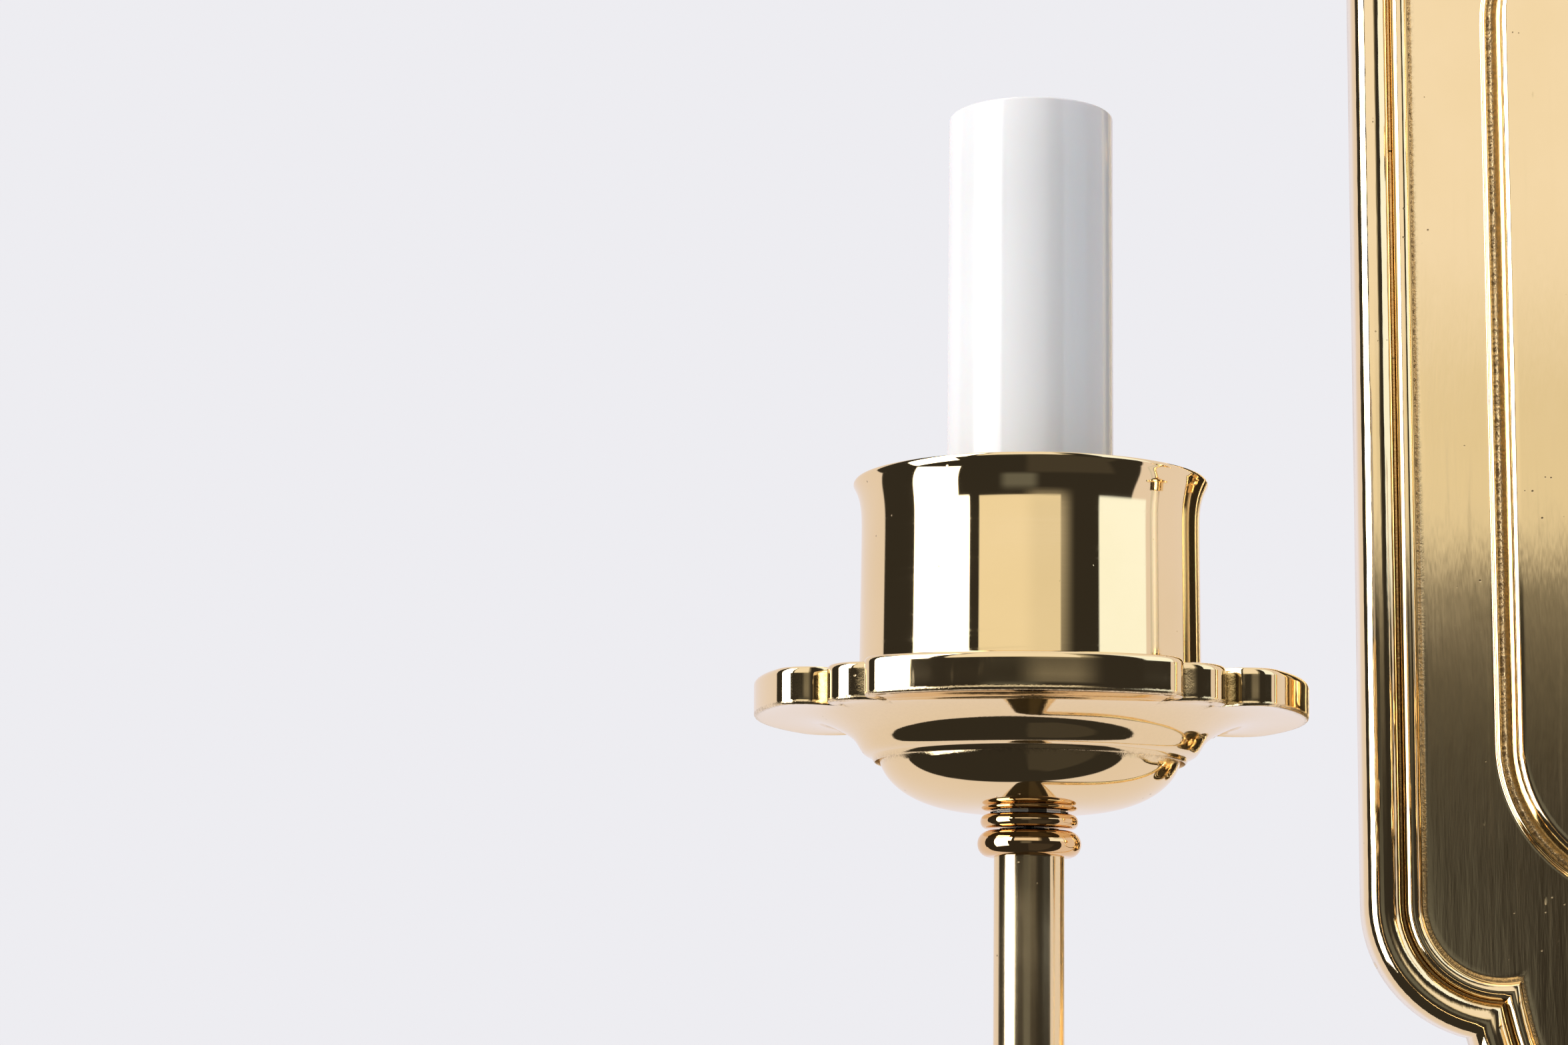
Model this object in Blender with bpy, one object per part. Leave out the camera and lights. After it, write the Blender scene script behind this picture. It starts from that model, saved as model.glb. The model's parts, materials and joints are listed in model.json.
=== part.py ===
"""Two-arm electric wall sconce in polished brass: a moulded plate, a hub, and two arms that each
carry a drip pan, a gallery cup and a candle sleeve over a small screw socket.

Units are metres, +Z is up and the wall is the plane y = 0, with the front towards -Y. The origin is
the middle of the mounting strap's back face, which lies on the wall.
"""

from math import acos, asin, cos, pi, radians, sin, sqrt, tan

import bmesh
import bpy
from mathutils import Matrix, Vector

MM = 0.001

# ---- clearances ----
GAP = 0.3 * MM  # between pieces that touch
BORE_GAP = 0.4 * MM  # round a threaded pipe or stud in its hole

# ---- backplate ----
PLATE_HALF_WIDTH = 60.0 * MM
SHOULDER_Z = 110.0 * MM  # flat ends of the plate's broad middle, above and below
SHOULDER_RADIUS = 22.0 * MM
LOBE_HALF_WIDTH = 45.0 * MM  # half axes of the half-oval end lobes
LOBE_HALF_HEIGHT = 56.0 * MM
LOBE_CENTRE_Z = 93.0 * MM
SIDE_WALL = 8.0 * MM
BEAD_WIDTH = 6.1 * MM
BEAD_HEIGHT = 12.4 * MM
GROOVE_HEIGHT = 9.9 * MM
INNER_BEAD_WIDTH = 3.5 * MM
BEAD_PARTING = 0.2 * MM  # flat strip between the two beads
INNER_BEAD_HEIGHT = 11.8 * MM
CHANNEL_HEIGHT = 9.2 * MM
CHANNEL_WIDTH = 12.4 * MM
FIELD_SLOPE = 3.2 * MM  # width of the moulding that climbs to the raised field
FIELD_HEIGHT = 13.2 * MM
FIELD_RADIUS = 23.0 * MM
PLATE_WALL = 2.2 * MM
RIM_WIDTH = 2.6 * MM  # flat back edge that meets the wall

# ---- wall fixing ----
STRAP_HALF_LENGTH = 60.0 * MM
STRAP_HALF_WIDTH = 8.0 * MM
STRAP_THICKNESS = 2.0 * MM
BOX_SCREW_Z = 41.65 * MM
SLOT_HALF_LENGTH = 4.5 * MM
SLOT_HALF_WIDTH = 2.4 * MM
STUD_Z = 53.0 * MM
STUD_RADIUS = 2.0 * MM
STUD_NUT_FLATS = 8.7 * MM
STUD_NUT_THICKNESS = 2.8 * MM
CAP_RADIUS = 5.6 * MM
CAP_SKIRT_RADIUS = 6.4 * MM
STUD_REACH = 5.0 * MM  # length of stud inside its cap nut
GROUND_SCREW_Z = 20.0 * MM

# ---- hub ----
HUB_Z = -111.0 * MM
HUB_BALL_RADIUS = 12.5 * MM
HUB_BALL_Y = -33.0 * MM
HUB_FLANGE_RADIUS = 15.0 * MM
HUB_FLANGE_THICKNESS = 3.0 * MM
HUB_NECK_RADIUS = 8.0 * MM
HUB_CAVITY_RADIUS = 7.0 * MM
FINIAL_RADIUS = 6.0 * MM
FINIAL_SHANK_RADIUS = 2.4 * MM
FINIAL_SHANK_LENGTH = 4.0 * MM

# ---- threaded pipe and its nuts ----
PIPE_RADIUS = 4.9 * MM
PIPE_BORE = 3.7 * MM
PIPE_NUT_FLATS = 14.0 * MM
PIPE_NUT_THICKNESS = 2.6 * MM
WASHER_RADIUS = 9.0 * MM
WASHER_THICKNESS = 1.0 * MM

# ---- arms ----
CANDLE_X = 112.0 * MM
CANDLE_Y = -110.0 * MM
ARM_RADIUS = 4.7625 * MM
ARM_BORE = 3.6 * MM
ARM_BOTTOM_Z = -150.0 * MM
ARM_BEND_TOP_Z = -117.0 * MM
ARM_BEND_WIDTH = 38.0 * MM
ARM_LEAVING_ANGLE = radians(-38.0)
ARM_END_Z = -83.5 * MM
ARM_ENTRY = 8.5 * MM  # how far from the hub's centre the tube ends
COLLAR_RADIUS = ARM_RADIUS + 1.84 * MM
COLLAR_LENGTH = 3.4 * MM

# ---- candle fitting, as heights above the arm's end ----
LOWER_BEAD_RADIUS = ARM_RADIUS + 2.24 * MM
LOWER_BEAD_HEIGHT = 3.8 * MM
UPPER_RING_RADIUS = 6.6 * MM
UPPER_RING_HEIGHT = 1.9 * MM
DOME_RADIUS = 20.5 * MM
DOME_DEPTH = 8.2 * MM
DOME_COLLAR = 4.0 * MM  # straight part of the dome that stands inside the pan's skirt
DOME_WALL = 1.4 * MM
PAN_RADIUS = 37.5 * MM
PAN_RIM_HEIGHT = 5.0 * MM
PAN_SKIRT = 5.8 * MM  # from the skirt's lower edge up to the underside of the rim
SKIRT_LAP = 1.6 * MM  # how far the skirt hangs over the dome's edge
PAN_FLOOR_DROP = 2.2 * MM
PAN_BOWL = ((27.5 * MM, 2.0 * MM), (25.0 * MM, 3.6 * MM))  # radius, and depth under the rim
PAN_FLOOR_THICKNESS = 3.8 * MM
PAN_SKIRT_RADIUS = 21.8 * MM
LOBE_END_RADIUS = 4.2 * MM
LOBE_END_ANGLE = radians(28.8)
CORNER_LOBE_RADIUS = 5.0 * MM
CORNER_LOBE_REACH = 34.4 * MM
NOTCH_RADIUS = 31.4 * MM
CUP_RADIUS = 23.2 * MM
CUP_LIP_RADIUS = 24.25 * MM
CUP_HEIGHT = 29.6 * MM
CUP_FLARE_HEIGHT = 8.5 * MM
CUP_WALL = 1.3 * MM
SLEEVE_RADIUS = 11.4 * MM
SLEEVE_WALL = 1.1 * MM
SLEEVE_LENGTH = 79.9 * MM

# ---- socket ----
SOCKET_RADIUS = SLEEVE_RADIUS - 3.0 * MM
SOCKET_LENGTH = 30.0 * MM
SOCKET_DEPTH_BELOW_SLEEVE = 6.0 * MM
SOCKET_BASE = 6.0 * MM
SHELL_RADIUS = SOCKET_RADIUS - 1.9 * MM
SHELL_WALL = 0.45 * MM
CONTACT_RADIUS = 3.2 * MM
CONTACT_THICKNESS = 1.2 * MM
BRACKET_THICKNESS = 1.2 * MM
BRACKET_HALF_WIDTH = 0.35 * SLEEVE_RADIUS
BRACKET_FOOT_RADIUS = 7.6 * MM
SCREW_RADIUS = 1.5 * MM
SCREW_HEAD_RADIUS = 2.8 * MM

# ---- wiring ----
LEAD_RADIUS = 0.75 * MM
LEAD_SPACING = 1.4 * MM  # from the tube's axis to each lead
LEAD_SPREAD = 5.6 * MM  # either side of the bracket's tab, under the socket
LIVE_RUN_Y = -2.0 * MM  # depth of each pair of leads behind the plate
NEUTRAL_RUN_Y = -4.3 * MM
SPLICE_X = 19.0 * MM
SPLICE_Y = -6.4 * MM
SPLICE_Z = -78.0 * MM
SPLICE_LENGTH = 19.0 * MM
SPLICE_RADIUS = 4.2 * MM
SPLICE_BORE = 3.3 * MM

# ---- heights that follow ----
RING_Z = ARM_END_Z
BEAD_Z = RING_Z - LOWER_BEAD_HEIGHT
DOME_Z = RING_Z + UPPER_RING_HEIGHT + GAP
SEAM_Z = DOME_Z + DOME_DEPTH
PAN_RIM_Z = SEAM_Z - SKIRT_LAP + PAN_SKIRT
PAN_TOP_Z = PAN_RIM_Z + PAN_RIM_HEIGHT
PAN_FLOOR_Z = PAN_TOP_Z - PAN_FLOOR_DROP
PAN_UNDER_Z = PAN_FLOOR_Z - PAN_FLOOR_THICKNESS
CUP_Z = PAN_FLOOR_Z + GAP
CUP_FLOOR_Z = CUP_Z + CUP_WALL
SLEEVE_Z = CUP_FLOOR_Z + GAP
SLEEVE_TOP_Z = SLEEVE_Z + SLEEVE_LENGTH
SOCKET_TOP_Z = SLEEVE_TOP_Z - SOCKET_DEPTH_BELOW_SLEEVE
SOCKET_Z = SOCKET_TOP_Z - SOCKET_LENGTH
NUT_Z = CUP_FLOOR_Z + GAP
FOOT_Z = NUT_Z + PIPE_NUT_THICKNESS + GAP
PIPE_TOP_Z = FOOT_Z + BRACKET_THICKNESS + 2.0 * MM
TAB_Z = SOCKET_Z - GAP - BRACKET_THICKNESS
FIELD_BACK_Y = -(FIELD_HEIGHT - PLATE_WALL)

BEAD_END = BEAD_WIDTH + INNER_BEAD_WIDTH
FIELD_INSET = BEAD_END + CHANNEL_WIDTH + FIELD_SLOPE

SHOULDER_STEPS = 5
LOBE_STEPS = 6
ROUND = 24  # sides of the larger turned pieces
SMALL = 12  # sides of rings, pipes and screws
ARM_SIDES = 12
LEAD_SIDES = 6


# ---------------------------------------------------------------- helpers


def clear_scene():
    for thing in list(bpy.data.objects):
        bpy.data.objects.remove(thing, do_unlink=True)


def finish_material(name, colour, roughness, metallic):
    material = bpy.data.materials.new(name)
    material.use_nodes = True
    shader = material.node_tree.nodes["Principled BSDF"]
    shader.inputs["Base Color"].default_value = (*colour, 1.0)
    shader.inputs["Roughness"].default_value = roughness
    shader.inputs["Metallic"].default_value = metallic
    return material


def add_object(name, bm, material, origin=(0, 0, 0), smooth=radians(35)):
    """Makes the bmesh, whose points are about its own origin, an object placed at origin."""
    mesh = bpy.data.meshes.new(name)
    bm.normal_update()
    bm.to_mesh(mesh)
    bm.free()
    mesh.materials.append(material)
    mesh.shade_smooth()
    mesh.set_sharp_from_angle(angle=smooth)
    thing = bpy.data.objects.new(name, mesh)
    thing.location = origin
    bpy.context.scene.collection.objects.link(thing)
    return thing


def turned(profile, sides, closed=False):
    """Spins a profile of (radius, height) points about Z; a closed profile leaves a bore."""
    bm = bmesh.new()
    points = [bm.verts.new((r, 0, z)) for r, z in profile]
    pairs = list(zip(points, points[1:]))
    if closed:
        pairs.append((points[-1], points[0]))
    edges = [bm.edges.new(pair) for pair in pairs]
    bmesh.ops.spin(
        bm,
        geom=points + edges,
        cent=(0, 0, 0),
        axis=(0, 0, 1),
        dvec=(0, 0, 0),
        angle=2 * pi,
        steps=sides,
        use_merge=True,
    )
    bmesh.ops.remove_doubles(bm, verts=bm.verts, dist=1e-6)
    bmesh.ops.recalc_face_normals(bm, faces=bm.faces)
    return bm


def bridge_rings(rings, closed_rings=False):
    """Joins rings that each have the same number of points into a tube of quads."""
    bm = bmesh.new()
    loops = [[bm.verts.new(point) for point in ring] for ring in rings]
    spans = list(zip(loops, loops[1:]))
    if closed_rings:
        spans.append((loops[-1], loops[0]))
    count = len(loops[0])
    for near, far in spans:
        for i in range(count):
            j = (i + 1) % count
            bm.faces.new((near[i], near[j], far[j], far[i]))
    if not closed_rings:
        bm.faces.new(list(reversed(loops[0])))
        bm.faces.new(loops[-1])
    bmesh.ops.recalc_face_normals(bm, faces=bm.faces)
    return bm


def prism(outline, low, high):
    """Extrudes a closed outline of (x, y) points from height low to height high."""
    rings = [[(x, y, z) for x, y in outline] for z in (low, high)]
    return bridge_rings(rings)


def facing_front(bm):
    """Turns a piece made about +Z so that its axis points out from the wall."""
    bmesh.ops.transform(bm, matrix=Matrix.Rotation(pi / 2, 4, "X"), verts=bm.verts)
    return bm


def cut(target, bm, name):
    """Cuts the bmesh's shape out of target with a hidden wire cutter."""
    mesh = bpy.data.meshes.new(name)
    bm.normal_update()
    bm.to_mesh(mesh)
    bm.free()
    cutter = bpy.data.objects.new(name, mesh)
    cutter.hide_render = True
    cutter.display_type = "WIRE"
    cutter.location = target.location
    bpy.context.scene.collection.objects.link(cutter)
    modifier = target.modifiers.new(name, "BOOLEAN")
    modifier.operation = "DIFFERENCE"
    modifier.solver = "EXACT"
    modifier.object = cutter


def ring_nut(name, flats, thickness, hole, material, origin, to_front=False):
    """A hexagonal nut with a plain bore: rings of the hexagon outside and a circle inside."""
    corner = flats / 2 / cos(pi / 6)
    outer, inner = [], []
    for i in range(12):
        angle = 2 * pi * i / 12
        within = (angle + pi / 6) % (pi / 3) - pi / 6
        reach = corner * cos(pi / 6) / cos(within)
        outer.append((reach * cos(angle), reach * sin(angle)))
        inner.append((hole * cos(angle), hole * sin(angle)))
    rings = [
        [(x, y, 0) for x, y in outer],
        [(x, y, thickness) for x, y in outer],
        [(x, y, thickness) for x, y in inner],
        [(x, y, 0) for x, y in inner],
    ]
    bm = bridge_rings(rings, closed_rings=True)
    if to_front:
        facing_front(bm)
    return add_object(name, bm, material, origin)


def frames_along(path):
    """For each point of a smooth path, a sideways and an upward unit vector across it."""
    frames = []
    side = None
    for i, point in enumerate(path):
        ahead = path[min(i + 1, len(path) - 1)] - path[max(i - 1, 0)]
        ahead.normalize()
        if side is None:
            guess = Vector((0, 0, 1)) if abs(ahead.z) < 0.9 else Vector((0, 1, 0))
            side = guess.cross(ahead)
        side = (side - ahead * side.dot(ahead)).normalized()
        frames.append((side.copy(), ahead.cross(side)))
    return frames


def circle_at(point, frame, radius, sides):
    side, up = frame
    angles = [2 * pi * i / sides for i in range(sides)]
    return [point + side * (radius * cos(a)) + up * (radius * sin(a)) for a in angles]


def rod_along(path, radius, sides):
    frames = frames_along(path)
    return bridge_rings([circle_at(p, f, radius, sides) for p, f in zip(path, frames)])


def pipe_along(path, radius, bore, sides):
    frames = frames_along(path)
    outer = [circle_at(p, f, radius, sides) for p, f in zip(path, frames)]
    inner = [circle_at(p, f, bore, sides) for p, f in zip(path, frames)]
    return bridge_rings(outer + inner[::-1], closed_rings=True)


# ---------------------------------------------------------------- backplate


def oval_inset(angle, inset):
    """A point of the end lobe's oval, moved in along its normal; angle runs from the side down."""
    x, z = LOBE_HALF_WIDTH * cos(angle), -LOBE_HALF_HEIGHT * sin(angle)
    nx, nz = cos(angle) / LOBE_HALF_WIDTH, -sin(angle) / LOBE_HALF_HEIGHT
    size = sqrt(nx * nx + nz * nz)
    return x - inset * nx / size, z - inset * nz / size - LOBE_CENTRE_Z


def meeting_angle(inset, half_width, radius, shoulder_z):
    """The lobe's angle where its inset oval leaves the shoulder arc of the same inset."""
    low, high = 0.0, pi / 2
    for _ in range(50):
        middle = (low + high) / 2
        x, z = oval_inset(middle, inset)
        over = x - (half_width - radius)
        depth = sqrt(max(radius**2 - max(over, 0.0) ** 2, 0.0))
        if z > -(shoulder_z - radius) - depth:
            low = middle
        else:
            high = middle
    return high


def plate_outline(inset, field=False):
    """The plate's outline at an inset from its edge, as (x, z) points, anticlockwise from the right."""
    half_width = PLATE_HALF_WIDTH - inset
    shoulder_z = SHOULDER_Z - inset
    radius = SHOULDER_RADIUS - inset
    if field:
        radius = FIELD_RADIUS - (inset - FIELD_INSET)
    meet = meeting_angle(inset, half_width, radius, shoulder_z)
    lobe_x, _ = oval_inset(meet, inset)
    last = acos(min(max((lobe_x - (half_width - radius)) / radius, -1.0), 1.0))
    quarter = []
    for i in range(SHOULDER_STEPS + 1):
        turn = last * i / SHOULDER_STEPS
        x = half_width - radius + radius * cos(turn)
        z = -(shoulder_z - radius) - radius * sin(turn)
        quarter.append((x, z))
    for i in range(1, LOBE_STEPS):
        quarter.append(oval_inset(meet + (pi / 2 - meet) * i / LOBE_STEPS, inset))
    bottom = (0.0, oval_inset(pi / 2, inset)[1])
    left = [(-x, z) for x, z in reversed(quarter)]
    lower = quarter + [bottom] + left
    upper = [(-x, -z) for x, z in lower]
    return lower + upper


def bead_points(start, width, foot, crest, end_foot, steps):
    """Heights over a rounded bead that starts at foot, peaks at crest and ends at end_foot."""
    points = []
    for i in range(steps + 1):
        turn = pi * i / steps
        base = foot + (end_foot - foot) * i / steps
        points.append((start + width * (1 - cos(turn)) / 2, base + (crest - base) * sin(turn)))
    return points


def plate_section():
    """(inset, height) from the outer back edge over the mouldings to the raised field."""
    section = [(0.0, 0.0)]
    section += bead_points(0.0, BEAD_WIDTH, SIDE_WALL, BEAD_HEIGHT, GROOVE_HEIGHT, 5)
    section += bead_points(
        BEAD_WIDTH + BEAD_PARTING,
        INNER_BEAD_WIDTH - BEAD_PARTING,
        GROOVE_HEIGHT,
        INNER_BEAD_HEIGHT,
        CHANNEL_HEIGHT,
        3,
    )
    return section


def make_backplate(material):
    """The cast plate: an open-backed shell whose mouldings follow its outline."""
    front = [
        [(x, -height, z) for x, z in plate_outline(inset)]
        for inset, height in plate_section()
    ]
    channel_end = FIELD_INSET - FIELD_SLOPE
    for inset, height in ((channel_end, CHANNEL_HEIGHT), (FIELD_INSET, FIELD_HEIGHT)):
        front.append([(x, -height, z) for x, z in plate_outline(inset, field=True)])
    back = [
        [(x, 0.0, z) for x, z in plate_outline(RIM_WIDTH)],
        [(x, -(SIDE_WALL - 1.0 * MM), z) for x, z in plate_outline(RIM_WIDTH)],
        [(x, -(CHANNEL_HEIGHT - PLATE_WALL), z) for x, z in plate_outline(BEAD_END)],
    ]
    for inset, height in ((channel_end, CHANNEL_HEIGHT), (FIELD_INSET, FIELD_HEIGHT)):
        inside = inset + PLATE_WALL * tan(pi / 8)
        ring = [(x, -(height - PLATE_WALL), z) for x, z in plate_outline(inside, field=True)]
        back.append(ring)
    bm = bridge_rings(front[::-1] + back)
    plate = add_object("backplate", bm, material)
    through = FIELD_HEIGHT + 2 * MM
    holes = (
        ("hub_hole", HUB_Z, PIPE_RADIUS + BORE_GAP),
        ("upper_stud_hole", STUD_Z, STUD_RADIUS + BORE_GAP),
        ("lower_stud_hole", -STUD_Z, STUD_RADIUS + BORE_GAP),
    )
    for name, z, radius in holes:
        drill = facing_front(turned([(0, 0), (radius, 0), (radius, through), (0, through)], SMALL))
        bmesh.ops.translate(drill, vec=(0, 0, z), verts=drill.verts)
        cut(plate, drill, name)
    return plate


# ---------------------------------------------------------------- wall fixing


def slot_outline(half_length, half_width, centre, steps=6):
    points = []
    straight = half_length - half_width
    for end in (1, -1):
        for i in range(steps + 1):
            turn = (0 if end > 0 else pi) + pi * i / steps
            points.append((half_width * cos(turn), centre + end * straight + half_width * sin(turn)))
    return points


def make_strap(material):
    """The flat steel bar on the wall box, with two box slots, two stud holes and a ground hole."""
    outline = slot_outline(STRAP_HALF_LENGTH, STRAP_HALF_WIDTH, 0.0)
    strap = add_object("mounting_strap", facing_front(prism(outline, 0, STRAP_THICKNESS)), material)
    past = 1.0 * MM
    for side, z in (("upper", BOX_SCREW_Z), ("lower", -BOX_SCREW_Z)):
        outline = slot_outline(SLOT_HALF_LENGTH, SLOT_HALF_WIDTH, z)
        drill = facing_front(prism(outline, -past, STRAP_THICKNESS + past))
        cut(strap, drill, side + "_box_slot")
    holes = (
        ("upper_strap_hole", STUD_Z, STUD_RADIUS + BORE_GAP),
        ("lower_strap_hole", -STUD_Z, STUD_RADIUS + BORE_GAP),
        ("ground_hole", GROUND_SCREW_Z, STUD_RADIUS + BORE_GAP),
    )
    for name, z, radius in holes:
        profile = [(0, -past), (radius, -past), (radius, STRAP_THICKNESS + past)]
        drill = facing_front(turned(profile + [(0, STRAP_THICKNESS + past)], SMALL))
        bmesh.ops.translate(drill, vec=(0, 0, z), verts=drill.verts)
        cut(strap, drill, name)
    return strap


def make_wall_fixings(steel, brass, green):
    strap_front = STRAP_THICKNESS + GAP
    stud_end = FIELD_HEIGHT + GAP + STUD_REACH
    for side, z in (("upper", STUD_Z), ("lower", -STUD_Z)):
        start = 0.5 * MM
        chamfer = 0.4 * MM
        profile = [
            (0, start),
            (STUD_RADIUS, start),
            (STUD_RADIUS, stud_end - chamfer),
            (STUD_RADIUS - chamfer, stud_end),
            (0, stud_end),
        ]
        stud = facing_front(turned(profile, SMALL))
        add_object(side + "_stud", stud, steel, (0, 0, z))
        place = (0, -strap_front, z)
        hole = STUD_RADIUS + GAP
        nut_name = side + "_stud_nut"
        ring_nut(nut_name, STUD_NUT_FLATS, STUD_NUT_THICKNESS, hole, steel, place, to_front=True)
        make_cap_nut(side + "_cap_nut", brass, (0, -(FIELD_HEIGHT + GAP), z))
    head = STRAP_THICKNESS + GAP
    ground = [
        (0, 0.4 * MM),
        (STUD_RADIUS, 0.4 * MM),
        (STUD_RADIUS, head),
        (4.2 * MM, head),
        (4.2 * MM, head + 0.8 * MM),
        (3.4 * MM, head + 1.0 * MM),
        (3.4 * MM, head + 3.0 * MM),
        (2.9 * MM, head + 3.4 * MM),
        (0, head + 3.4 * MM),
    ]
    add_object("ground_screw", facing_front(turned(ground, SMALL)), green, (0, 0, GROUND_SCREW_Z))


def make_cap_nut(name, material, origin):
    """A ball-topped nut, blind-bored for its stud; its origin is on its turning axis."""
    bore = STUD_RADIUS + BORE_GAP
    depth = STUD_REACH + 1.0 * MM
    skirt = 2.2 * MM
    profile = [(0, depth), (bore, depth), (bore, 0), (CAP_SKIRT_RADIUS - 0.5 * MM, 0)]
    profile += [(CAP_SKIRT_RADIUS, 0.5 * MM), (CAP_SKIRT_RADIUS, skirt - 0.4 * MM)]
    neck = 4.4 * MM
    profile.append((neck, skirt))
    start = acos(neck / CAP_RADIUS)
    centre = skirt + CAP_RADIUS * sin(start)
    for i in range(7):
        turn = -start + (pi / 2 + start) * i / 6
        profile.append((CAP_RADIUS * cos(turn), centre + CAP_RADIUS * sin(turn)))
    profile[-1] = (0, centre + CAP_RADIUS)
    add_object(name, facing_front(turned(profile, 16)), material, origin)


# ---------------------------------------------------------------- hub


def arm_plan():
    """The arm's direction in plan, from the hub's axis to the candle's, and its run."""
    across = Vector((CANDLE_X, CANDLE_Y - HUB_BALL_Y))
    return across.normalized(), across.length


def arm_points(start, side, steps=5):
    """The arm's centre line from a distance off the hub's centre to the candle's axis."""
    plan, run = arm_plan()
    first = Vector((start * cos(ARM_LEAVING_ANGLE), HUB_Z + start * sin(ARM_LEAVING_ANGLE)))
    bottom = Vector((run - ARM_BEND_WIDTH, ARM_BOTTOM_Z))
    pull = (bottom.x - first.x) * 0.45
    handle_a = first + pull * Vector((cos(ARM_LEAVING_ANGLE), sin(ARM_LEAVING_ANGLE)))
    handle_b = bottom - Vector((pull, 0))
    flat = []
    for i in range(steps + 3):
        t = i / (steps + 3)
        u = 1 - t
        flat.append(u**3 * first + 3 * u * u * t * handle_a + 3 * u * t * t * handle_b + t**3 * bottom)
    rise = ARM_BEND_TOP_Z - ARM_BOTTOM_Z
    for i in range(steps + 1):
        turn = pi / 2 * i / steps
        flat.append(
            Vector((bottom.x + ARM_BEND_WIDTH * sin(turn), ARM_BOTTOM_Z + rise * (1 - cos(turn))))
        )
    flat.append(Vector((run, ARM_END_Z - GAP)))
    return [Vector((side * p.x * plan.x, HUB_BALL_Y + p.x * plan.y, p.y)) for p in flat]


def make_hub(material):
    """The turned boss on the plate: flange, neck and a hollow ball that the arms enter."""
    base = FIELD_HEIGHT + GAP
    ball = -HUB_BALL_Y
    bore = PIPE_RADIUS + BORE_GAP
    cavity_front = ball + HUB_CAVITY_RADIUS
    finial_bore = FINIAL_SHANK_RADIUS + BORE_GAP
    neck_turn = asin(HUB_NECK_RADIUS / HUB_BALL_RADIUS)
    flange = base + HUB_FLANGE_THICKNESS
    profile = [
        (bore, base),
        (HUB_FLANGE_RADIUS - 0.6 * MM, base),
        (HUB_FLANGE_RADIUS, base + 0.6 * MM),
        (HUB_FLANGE_RADIUS, flange - 1.0 * MM),
        (HUB_FLANGE_RADIUS - 2.0 * MM, flange),
        (HUB_NECK_RADIUS + 1.0 * MM, flange + 0.8 * MM),
    ]
    for i in range(7):
        turn = neck_turn + (pi - asin(FINIAL_RADIUS / HUB_BALL_RADIUS) - neck_turn) * i / 6
        profile.append((HUB_BALL_RADIUS * sin(turn), ball - HUB_BALL_RADIUS * cos(turn)))
    top = profile[-1][1]
    profile += [(finial_bore, top), (finial_bore, cavity_front)]
    profile += [(HUB_CAVITY_RADIUS, cavity_front), (HUB_CAVITY_RADIUS, ball - HUB_CAVITY_RADIUS)]
    profile.append((bore, ball - HUB_CAVITY_RADIUS))
    hub = add_object("hub", facing_front(turned(profile, ROUND, closed=True)), material, (0, 0, HUB_Z))
    for name, side in (("left", -1), ("right", 1)):
        path = arm_points(HUB_CAVITY_RADIUS * 0.5, side)[:2]
        far = path[0] + (path[1] - path[0]).normalized() * HUB_BALL_RADIUS * 1.4
        drill = rod_along([path[0], far], ARM_RADIUS + GAP, ARM_SIDES)
        bmesh.ops.translate(drill, vec=(0, 0, -HUB_Z), verts=drill.verts)
        cut(hub, drill, name + "_arm_hole")
    return top


def make_finial(material, seat):
    """The turned knob on a short threaded shank that closes the hub's front."""
    shank = FINIAL_SHANK_RADIUS
    profile = [(0, -FINIAL_SHANK_LENGTH), (shank, -FINIAL_SHANK_LENGTH), (shank, 0)]
    profile += [(FINIAL_RADIUS - 0.5 * MM, 0), (FINIAL_RADIUS, 0.6 * MM), (FINIAL_RADIUS, 1.8 * MM)]
    profile += [(3.4 * MM, 2.6 * MM), (3.0 * MM, 3.6 * MM)]
    ball = 4.6 * MM
    start = acos(3.4 * MM / ball)
    centre = 4.0 * MM + ball * sin(start)
    for i in range(6):
        turn = -start + (radians(62) + start) * i / 5
        profile.append((ball * cos(turn), centre + ball * sin(turn)))
    tip = profile[-1][1] + 2.6 * MM
    profile += [(1.6 * MM, tip - 1.6 * MM), (1.7 * MM, tip - 0.6 * MM), (0, tip)]
    place = (0, -(seat + GAP), HUB_Z)
    add_object("hub_finial", facing_front(turned(profile, 18)), material, place)


def make_hub_pipe(brass, steel):
    """The threaded pipe that clamps the hub to the plate, with its washer and nut behind."""
    back = -FIELD_BACK_Y
    washer = back - GAP - WASHER_THICKNESS
    nut = washer - GAP - PIPE_NUT_THICKNESS
    low = nut - 1.0 * MM
    high = -HUB_BALL_Y - HUB_CAVITY_RADIUS - GAP
    profile = [(PIPE_BORE, low), (PIPE_RADIUS, low), (PIPE_RADIUS, high), (PIPE_BORE, high)]
    add_object("hub_pipe", facing_front(turned(profile, SMALL, closed=True)), steel, (0, 0, HUB_Z))
    hole = PIPE_RADIUS + GAP
    ring = [(hole, 0), (WASHER_RADIUS, 0), (WASHER_RADIUS, WASHER_THICKNESS), (hole, WASHER_THICKNESS)]
    place = (0, -washer, HUB_Z)
    add_object("hub_washer", facing_front(turned(ring, 20, closed=True)), steel, place)
    place = (0, -nut, HUB_Z)
    ring_nut("hub_nut", PIPE_NUT_FLATS, PIPE_NUT_THICKNESS, hole, brass, place, to_front=True)


# ---------------------------------------------------------------- candle fittings


def rounded_ring(hole, radius, low, high, steps=5):
    """A closed profile: a ring with a half-round outer edge."""
    middle, half = (low + high) / 2, (high - low) / 2
    points = [(hole, low)]
    for i in range(steps + 1):
        turn = -pi / 2 + pi * i / steps
        points.append((radius - half * 0.9 + half * 0.9 * cos(turn), middle + half * sin(turn)))
    points.append((hole, high))
    return points


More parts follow.
